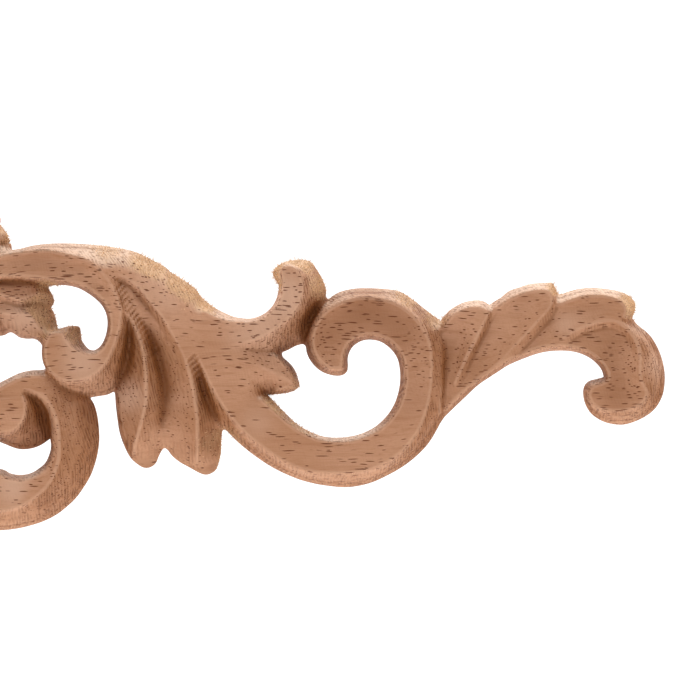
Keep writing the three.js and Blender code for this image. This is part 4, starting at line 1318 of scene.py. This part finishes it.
def tool_group():
    """Marks of the cutter's passes: straight furrows side by side, a little uneven."""
    tree, given, result = new_group(
        "cutter_marks", {"Pitch": 0.0005, "Lean Back": 0.25, "Lean Aside": 0.3}, "Furrow")
    place = given["Place"]
    axes = node(tree, "ShaderNodeSeparateXYZ", {0: place}).outputs
    bends = named_noise(tree, place, "bends of the cutter's marks")
    back = product(tree, axes[1], given["Lean Back"])
    aside = product(tree, axes[2], given["Lean Aside"])
    shifted = math_node(tree, "ADD", axes[0], math_node(tree, "ADD", back, aside))
    shifted = math_node(tree, "ADD", shifted, product(tree, bends, MARKS_WANDER))
    turns = math_node(tree, "DIVIDE", shifted, given["Pitch"])
    wave = math_node(tree, "SINE", product(tree, turns, 2 * math.pi))
    level = product(tree, math_node(tree, "ADD", wave, 1.0), 0.5)
    gaps = named_noise(tree, place, "gaps in the cutter's marks")
    whole = ramp(tree, gaps, *RAMPS["gaps in the cutter's marks"])
    tree.links.new(product(tree, level, whole), result)
    return tree


def fibre_tree():
    """Geometry nodes that set thin cones on the torn parts of a carving."""
    tree = bpy.data.node_groups.new("torn_fibres", "GeometryNodeTree")
    for label, kind in (("Carving", "NodeSocketObject"), ("Density", "NodeSocketFloat"),
                        ("Length", "NodeSocketFloat"), ("Thickness", "NodeSocketFloat"),
                        ("Seed", "NodeSocketInt"), ("Material", "NodeSocketMaterial")):
        tree.interface.new_socket(label, in_out="INPUT", socket_type=kind)
    tree.interface.new_socket("Geometry", in_out="OUTPUT", socket_type="NodeSocketGeometry")
    given = node(tree, "NodeGroupInput").outputs
    carving = node(tree, "GeometryNodeObjectInfo", {"Object": given["Carving"]}).outputs
    torn = node(tree, "GeometryNodeInputNamedAttribute", {"Name": "fuzz"},
                data_type="FLOAT").outputs["Attribute"]
    points = node(tree, "GeometryNodeDistributePointsOnFaces",
                  {"Mesh": carving["Geometry"], "Seed": given["Seed"],
                   "Density": product(tree, torn, given["Density"])}).outputs
    stray = node(tree, "FunctionNodeRandomValue", {0: STRAY_LEAST, 1: STRAY_MOST},
                 data_type="FLOAT_VECTOR").outputs[0]
    way = vector_node(tree, "ADD", points["Normal"], stray)
    turn = node(tree, "FunctionNodeAlignRotationToVector", {"Vector": way}, axis="Z").outputs
    size = node(tree, "FunctionNodeRandomValue", {0: FIBRE_LEAST, 1: FIBRE_MOST},
                data_type="FLOAT_VECTOR").outputs[0]
    longer = math_node(tree, "ADD", product(tree, torn, FIBRE_GROWS), FIBRE_SHORTEST)
    scale = vector_node(tree, "MULTIPLY", size, vector_from(tree, 1.0, 1.0, longer))
    fibre = node(tree, "GeometryNodeMeshCone",
                 {"Vertices": 3, "Radius Top": 0.0, "Radius Bottom": given["Thickness"],
                  "Depth": given["Length"]}).outputs
    grown = node(tree, "GeometryNodeInstanceOnPoints",
                 {"Points": points["Points"], "Instance": fibre["Mesh"],
                  "Rotation": turn["Rotation"], "Scale": scale}).outputs
    real = node(tree, "GeometryNodeRealizeInstances", {"Geometry": grown["Instances"]}).outputs
    painted = node(tree, "GeometryNodeSetMaterial",
                   {"Geometry": real["Geometry"], "Material": given["Material"]}).outputs
    node(tree, "NodeGroupOutput", {"Geometry": painted["Geometry"]})
    return tree


def new_material(name):
    """A material, its tree, the inputs of its shader and the place on the object."""
    material = bpy.data.materials.new(name)
    material.use_nodes = True
    tree = material.node_tree
    place = node(tree, "ShaderNodeTexCoord").outputs["Object"]
    return material, tree, tree.nodes["Principled BSDF"].inputs, place


def fibre_material(fibres):
    """Pale torn wood, a little uneven."""
    material, tree, shader, place = new_material("torn_wood")
    change = named_noise(tree, place, "colour of torn fibres")
    colour = mixed_colour(tree, ramp(tree, change, *RAMPS["colour of torn fibres"]),
                          (*fibres.dark, 1), (*fibres.pale, 1))
    tree.links.new(colour, shader["Base Color"])
    shader["Roughness"].default_value = TORN_ROUGHNESS
    return material


def wood_material(wood):
    """Raw rubberwood: even pinkish tan, dark pores along the grain, darker cut end grain; with
    painted light on walls that face up, painted highlights on crests, painted shade in hollows,
    corners and the cutter's marks, and painted light and shade at listed places.
    """
    material, tree, shader, place = new_material("rubberwood")
    grain = wandering_grain(tree, place, wood.grain_wander)
    fibre = named_noise(tree, grain, "fine fibres")
    steepness, end_grain, upward_wall_light, crest, shelter, painted_light_shade, fuzz = (
        node(tree, "ShaderNodeAttribute", attribute_name=name).outputs["Fac"]
        for name in ("steepness", "end_grain", "upward_wall_light", "crest", "shelter", "painted_light_shade", "fuzz"))

    def ramped(value, name):
        return ramp(tree, value, *RAMPS[name])

    def ramped_noise(where, name):
        return ramped(named_noise(tree, where, name), name)

    pores = node(tree, "ShaderNodeGroup",
                 {"Place": grain, "Cell Length": wood.pore_spacing_along,
                  "Cell Width": wood.pore_spacing_across, "Half Length": wood.pore_length / 2,
                  "Radius": wood.pore_width / 2,
                  "Share Kept": ramped_noise(place, "crowding of the pores")},
                 node_tree=pore_group()).outputs["Mask"]
    furrow = node(tree, "ShaderNodeGroup", {"Place": place, "Pitch": wood.mark_pitch},
                  node_tree=tool_group()).outputs["Furrow"]
    # Painted shade in the grooves of the cutter's marks on steep walls.
    mark_shade_on_walls = product(tree, furrow, ramped(steepness, "painted shade in cutter's marks on walls"))

    colour = (*wood.face, 1)
    for share, paint in (
            (ramped_noise(place, "light bands"), wood.face_light),
            (ramped_noise(grain, "streaks"), wood.streak),
            (ramped(fibre, "fine fibres"), wood.streak),
            # Painted light: walls that face up are made paler where they lie in the open.
            (product(tree, ramped(upward_wall_light, "painted light on upward walls"),
                     ramped(shelter, "upward wall light in the open")), wood.upward_wall_light),
            # Darker cut end grain, partly the wood's own colour and partly painted shade in
            # shelter.
            (product(tree, ramped(end_grain, "dark end grain"),
                     ramped(shelter, "end grain deeper in painted shade")), wood.end_grain),
            # Painted shade and painted light at the listed places.
            (ramped(painted_light_shade, "painted shade at listed places"), wood.dark),
            (ramped(painted_light_shade, "painted light at listed places"), wood.pale),
            # Painted shade in sheltered corners.
            (ramped(shelter, "painted shade in sheltered corners"), wood.furrow),
            # Painted shade in the cutter's marks, most on end grain.
            (product(tree, mark_shade_on_walls, ramped(end_grain, "painted shade in cutter's marks on end grain")),
             wood.furrow),
            # Painted highlight on crests.
            (ramped(crest, "painted highlight on crests"), wood.crest),
            # Painted shade at the feet of crests.
            (ramped(crest, "painted shade at the feet of crests"), wood.furrow),
            (ramped(fuzz, "torn wood"), wood.torn),
            (product(tree, pores, PORE_DARKNESS), wood.pore)):
        colour = mixed_colour(tree, share, colour, (*paint, 1))
    tree.links.new(colour, shader["Base Color"])
    tree.links.new(ramped(fibre, "roughness"), shader["Roughness"])
    shader["Specular IOR Level"].default_value = SHINE

    carved = product(tree, furrow, ramped(steepness, "depth of the cutter's marks"))
    raised = math_node(tree, "SUBTRACT", product(tree, fibre, FIBRE_DEPTH), carved)
    raised = math_node(tree, "SUBTRACT", raised, product(tree, pores, PORE_DEPTH))
    bump = node(tree, "ShaderNodeBump",
                {"Strength": 1.0, "Distance": wood.mark_depth, "Height": raised})
    tree.links.new(bump.outputs["Normal"], shader["Normal"])
    return material


def length_property(name, description, default):
    """A length in metres that the panel shows."""
    return FloatProperty(name=name, description=description, default=default, unit="LENGTH")


def colour_property(name, description, default):
    """A colour that the panel shows."""
    return FloatVectorProperty(name=name, description=description, default=default,
                               subtype="COLOR", size=3)


class CarvingSizes(bpy.types.PropertyGroup):
    """Sizes of the carving and of its mesh."""
    arm_length: length_property("Arm Length", "Outer corner to the end of either arm", 0.150)
    relief_depth: length_property("Relief Depth", "Back to the highest crest", RELIEF_DEPTH)
    sawn_edge: length_property("Sawn Edge", "Upright edge left all round by the saw", 0.0016)
    mount_from_corner: length_property(
        "Mount From Corner", "Outer corner to the mount, along either arm", 0.0316)
    node_spacing: length_property(
        "Node Spacing", "Distance between neighbouring points of the front", 0.00026)
    tool_easing: length_property(
        "Tool Easing", "How far the cutter rounds crests and inside corners", 0.00014)


class WoodLook(bpy.types.PropertyGroup):
    """Colours and grain of the raw wood, and the colours of its painted light and shade."""
    face: colour_property("Face", "Even colour of the carved faces", (0.485, 0.240, 0.132))
    face_light: colour_property("Light Face", "Lighter bands of the faces", (0.570, 0.300, 0.180))
    # Painted shade and painted light at the listed places: the two colours below.
    dark: colour_property("Painted Shade", "Painted shade, darker and redder, at listed places", (0.31, 0.130, 0.062))
    pale: colour_property("Painted Light", "Painted light, paler, at listed places", (0.63, 0.375, 0.255))
    streak: colour_property("Streak", "Darker streaks along the grain", (0.36, 0.150, 0.070))
    pore: colour_property("Pore", "Open pores", (0.125, 0.027, 0.008))
    # Painted light on walls that face up.
    upward_wall_light: colour_property("Upward Wall Light", "Painted light on walls facing up", (0.72, 0.52, 0.39))
    # End grain: partly its own darker colour, partly painted shade where sheltered.
    end_grain: colour_property("End Grain", "Walls cut across the grain, darker still as painted shade where sheltered", (0.29, 0.105, 0.032))
    # Colour of the painted shade in corners, creases and the cutter's marks.
    furrow: colour_property(
        "Furrow", "Painted shade in the cutter's marks, at the feet of crests and in inside corners", (0.18, 0.056, 0.014))
    torn: colour_property("Torn Wood", "Places that the cutter tore", (0.66, 0.41, 0.22))
    # Painted highlight on crests and rims.
    crest: colour_property("Crest", "Painted highlight on crests and rims", (0.70, 0.42, 0.28))
    pore_length: length_property("Pore Length", "Usual length of a pore", 0.0016)
    pore_width: length_property("Pore Width", "Width of a pore", 0.00016)
    pore_spacing_along: length_property(
        "Pore Spacing Along", "Between pores, along the grain", 0.0021)
    pore_spacing_across: length_property(
        "Pore Spacing Across", "Between pores, across the grain", 0.00039)
    grain_wander: length_property(
        "Grain Wander", "How far the grain strays from its straight line", 0.0016)
    mark_pitch: length_property("Mark Pitch", "Distance between passes of the cutter", 0.00052)
    mark_depth: length_property("Mark Depth", "Depth of the cutter's marks", 0.0001)


class FibreLook(bpy.types.PropertyGroup):
    """Torn fibres left by the cutter."""
    density: FloatProperty(
        name="Density", description="Fibres on a square metre of fully torn wood",
        default=6.0e6)
    length: length_property("Length", "Usual length of a fibre", 0.0007)
    thickness: length_property("Thickness", "Radius of a fibre's root", 0.000045)
    seed: IntProperty(name="Seed", description="Which fibres grow where", default=7)
    pale: colour_property("Pale", "Lighter fibres", (0.86, 0.58, 0.32))
    dark: colour_property("Dark", "Darker fibres", (0.60, 0.36, 0.18))


class StageLook(bpy.types.PropertyGroup):
    """Floor, light and camera."""
    floor_radius: length_property("Floor Radius", "Radius of the pale floor", 0.5)
    floor_drop: length_property("Floor Drop", "Depth of the floor under the applique", 0.1)
    floor_colour: colour_property("Floor Colour", "Colour of the floor", (0.86, 0.85, 0.84))
    camera_distance: length_property("Camera Distance", "Camera to the back of the applique", 1.5)
    lamp_power: FloatProperty(
        name="Lamp Power", description="Power of the lamp in front and above", default=0.5,
        unit="POWER")
    light_above: FloatProperty(
        name="Light Above", description="Strength of the light from above", default=2.4)
    light_below: FloatProperty(
        name="Light Below", description="Strength of the light from below", default=0.6)
    light_in_front: FloatProperty(
        name="Light In Front", description="Share of the light that comes from the front",
        default=0.12)


class APPLIQUE_OT_carving(bpy.types.Operator):
    """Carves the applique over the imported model"""
    bl_idname = "applique.carving"
    bl_label = "Carve the Applique"

    def execute(self, context):
        piece = carved_piece(context.scene.applique_sizes)
        piece.data.materials.append(wood_material(context.scene.applique_wood))
        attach(piece, BODY)
        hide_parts(NODE)
        return {"FINISHED"}


class APPLIQUE_OT_fibres(bpy.types.Operator):
    """Sets torn fibres on the carved applique"""
    bl_idname = "applique.fibres"
    bl_label = "Set the Torn Fibres"

    def execute(self, context):
        look = context.scene.applique_fibres
        tree = fibre_tree()
        values = {"Carving": bpy.data.objects[PIECE_NAME], "Density": look.density,
                  "Length": look.length, "Thickness": look.thickness, "Seed": look.seed,
                  "Material": fibre_material(look)}
        holder = bpy.data.objects.new(FIBRE_NAME, bpy.data.meshes.new(FIBRE_NAME))
        context.scene.collection.objects.link(holder)
        modifier = holder.modifiers.new("fibres", "NODES")
        modifier.node_group = tree
        for socket in tree.interface.items_tree:
            if socket.in_out == "INPUT":
                modifier[socket.identifier] = values[socket.name]
        grown = holder.evaluated_get(context.evaluated_depsgraph_get())
        mesh = bpy.data.meshes.new_from_object(grown)
        holder.modifiers.remove(modifier)
        holder.data = mesh
        if not mesh.polygons:
            raise RuntimeError("no torn fibre was set")
        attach(holder, BODY)
        return {"FINISHED"}


class APPLIQUE_OT_stage(bpy.types.Operator):
    """Sets the floor, the light and the camera"""
    bl_idname = "applique.stage"
    bl_label = "Set the Stage"

    def execute(self, context):
        look = context.scene.applique_stage
        floor_disc(look)
        studio_light(look)
        photo_camera(look, context.scene.applique_sizes)
        return {"FINISHED"}


class APPLIQUE_PT_panel(bpy.types.Panel):
    """Sizes, colours and steps of the applique"""
    bl_label = "Carved Applique"
    bl_idname = "APPLIQUE_PT_panel"
    bl_space_type = "VIEW_3D"
    bl_region_type = "UI"
    bl_category = "Applique"

    def draw(self, context):
        scene = context.scene
        for title, group in (("Carving", scene.applique_sizes), ("Wood", scene.applique_wood),
                             ("Torn Fibres", scene.applique_fibres),
                             ("Stage", scene.applique_stage)):
            box = self.layout.box()
            box.label(text=title)
            for name in group.__annotations__:
                box.prop(group, name)
        for step in STEPS:
            self.layout.operator(step.bl_idname)


def floor_disc(look):
    """A round pale floor under the applique, below the photograph's view."""
    turns = 2 * math.pi * np.arange(FLOOR_SIDES) / FLOOR_SIDES
    middle = (CAD_LOW + CAD_HIGH) / 2
    height = CAD_LOW.z - look.floor_drop
    points = np.stack([middle.x + look.floor_radius * np.cos(turns),
                       middle.y + look.floor_radius * np.sin(turns),
                       np.full(FLOOR_SIDES, height)], 1)
    centre = np.array([[middle.x, middle.y, height]])
    faces = np.array([(FLOOR_SIDES, k, (k + 1) % FLOOR_SIDES) for k in range(FLOOR_SIDES)])
    floor = new_object("floor", np.concatenate([points, centre]), faces)
    material, tree, shader, place = new_material("pale_floor")
    cloud = named_noise(tree, place, "clouds of the floor")
    colour = mixed_colour(tree, ramp(tree, cloud, *RAMPS["clouds of the floor"]),
                          (*look.floor_colour, 1), (*FLOOR_CLOUD, 1))
    tree.links.new(colour, shader["Base Color"])
    shader["Roughness"].default_value = FLOOR_ROUGHNESS
    floor.data.materials.append(material)
    return floor


def studio_light(look):
    """White surroundings, brighter from above, and one soft lamp in front and above."""
    world = bpy.data.worlds.new("white_studio")
    world.use_nodes = True
    bpy.context.scene.world = world
    tree = world.node_tree
    background = tree.nodes["Background"].inputs
    way = node(tree, "ShaderNodeTexCoord").outputs["Generated"]
    axes = node(tree, "ShaderNodeSeparateXYZ", {0: way}).outputs
    shade = product(tree, ramp(tree, axes[2], *LIGHT_HEIGHTS, look.light_below, look.light_above),
                    ramp(tree, axes[1], *LIGHT_BACKS, look.light_in_front, 1.0))
    seen = node(tree, "ShaderNodeLightPath").outputs["Is Camera Ray"]
    strength = math_node(tree, "MAXIMUM", shade, product(tree, seen, BACKDROP))
    background["Color"].default_value = (1, 1, 1, 1)
    tree.links.new(strength, background["Strength"])
    middle = (CAD_LOW + CAD_HIGH) / 2
    lamp = bpy.data.lights.new("soft_lamp", "AREA")
    lamp.shape = "DISK"
    lamp.size = LAMP_SIZE
    lamp.energy = look.lamp_power
    holder = bpy.data.objects.new("soft_lamp", lamp)
    holder.location = middle + Vector(LAMP_PLACE)
    holder.rotation_euler = (middle - holder.location).to_track_quat("-Z", "Y").to_euler()
    bpy.context.scene.collection.objects.link(holder)


def photo_camera(look, sizes):
    """Looks square at the carving from the photograph's distance and framing."""
    grid = sizes.arm_length / GRID_PER_ARM
    data = bpy.data.cameras.new("photo_camera")
    camera = bpy.data.objects.new("photo_camera", data)
    camera.location = ((PHOTO_LEFT_U + PHOTO_SIDE / 2) * grid - sizes.mount_from_corner,
                       -look.camera_distance,
                       (PHOTO_ROW_OF_V0 - PHOTO_SIDE / 2) * grid - sizes.mount_from_corner)
    camera.rotation_euler = (math.pi / 2, 0, 0)
    data.lens = data.sensor_width * look.camera_distance / (PHOTO_SIDE * grid)
    data.clip_end = 4 * look.camera_distance
    scene = bpy.context.scene
    scene.collection.objects.link(camera)
    scene.camera = camera
    scene.view_settings.view_transform = "Standard"


STEPS = (APPLIQUE_OT_carving, APPLIQUE_OT_fibres, APPLIQUE_OT_stage)
GROUPS = {"applique_sizes": CarvingSizes, "applique_wood": WoodLook,
          "applique_fibres": FibreLook, "applique_stage": StageLook}


def register():
    for kind in (*GROUPS.values(), *STEPS, APPLIQUE_PT_panel):
        bpy.utils.register_class(kind)
    for name, group in GROUPS.items():
        setattr(bpy.types.Scene, name, PointerProperty(type=group))


def unregister():
    for name in GROUPS:
        delattr(bpy.types.Scene, name)
    for kind in reversed((*GROUPS.values(), *STEPS, APPLIQUE_PT_panel)):
        bpy.utils.unregister_class(kind)


def main():
    """Makes every piece in order."""
    register()
    bpy.ops.applique.carving()
    bpy.ops.applique.fibres()
    bpy.ops.applique.stage()


if __name__ == "__main__":
    main()
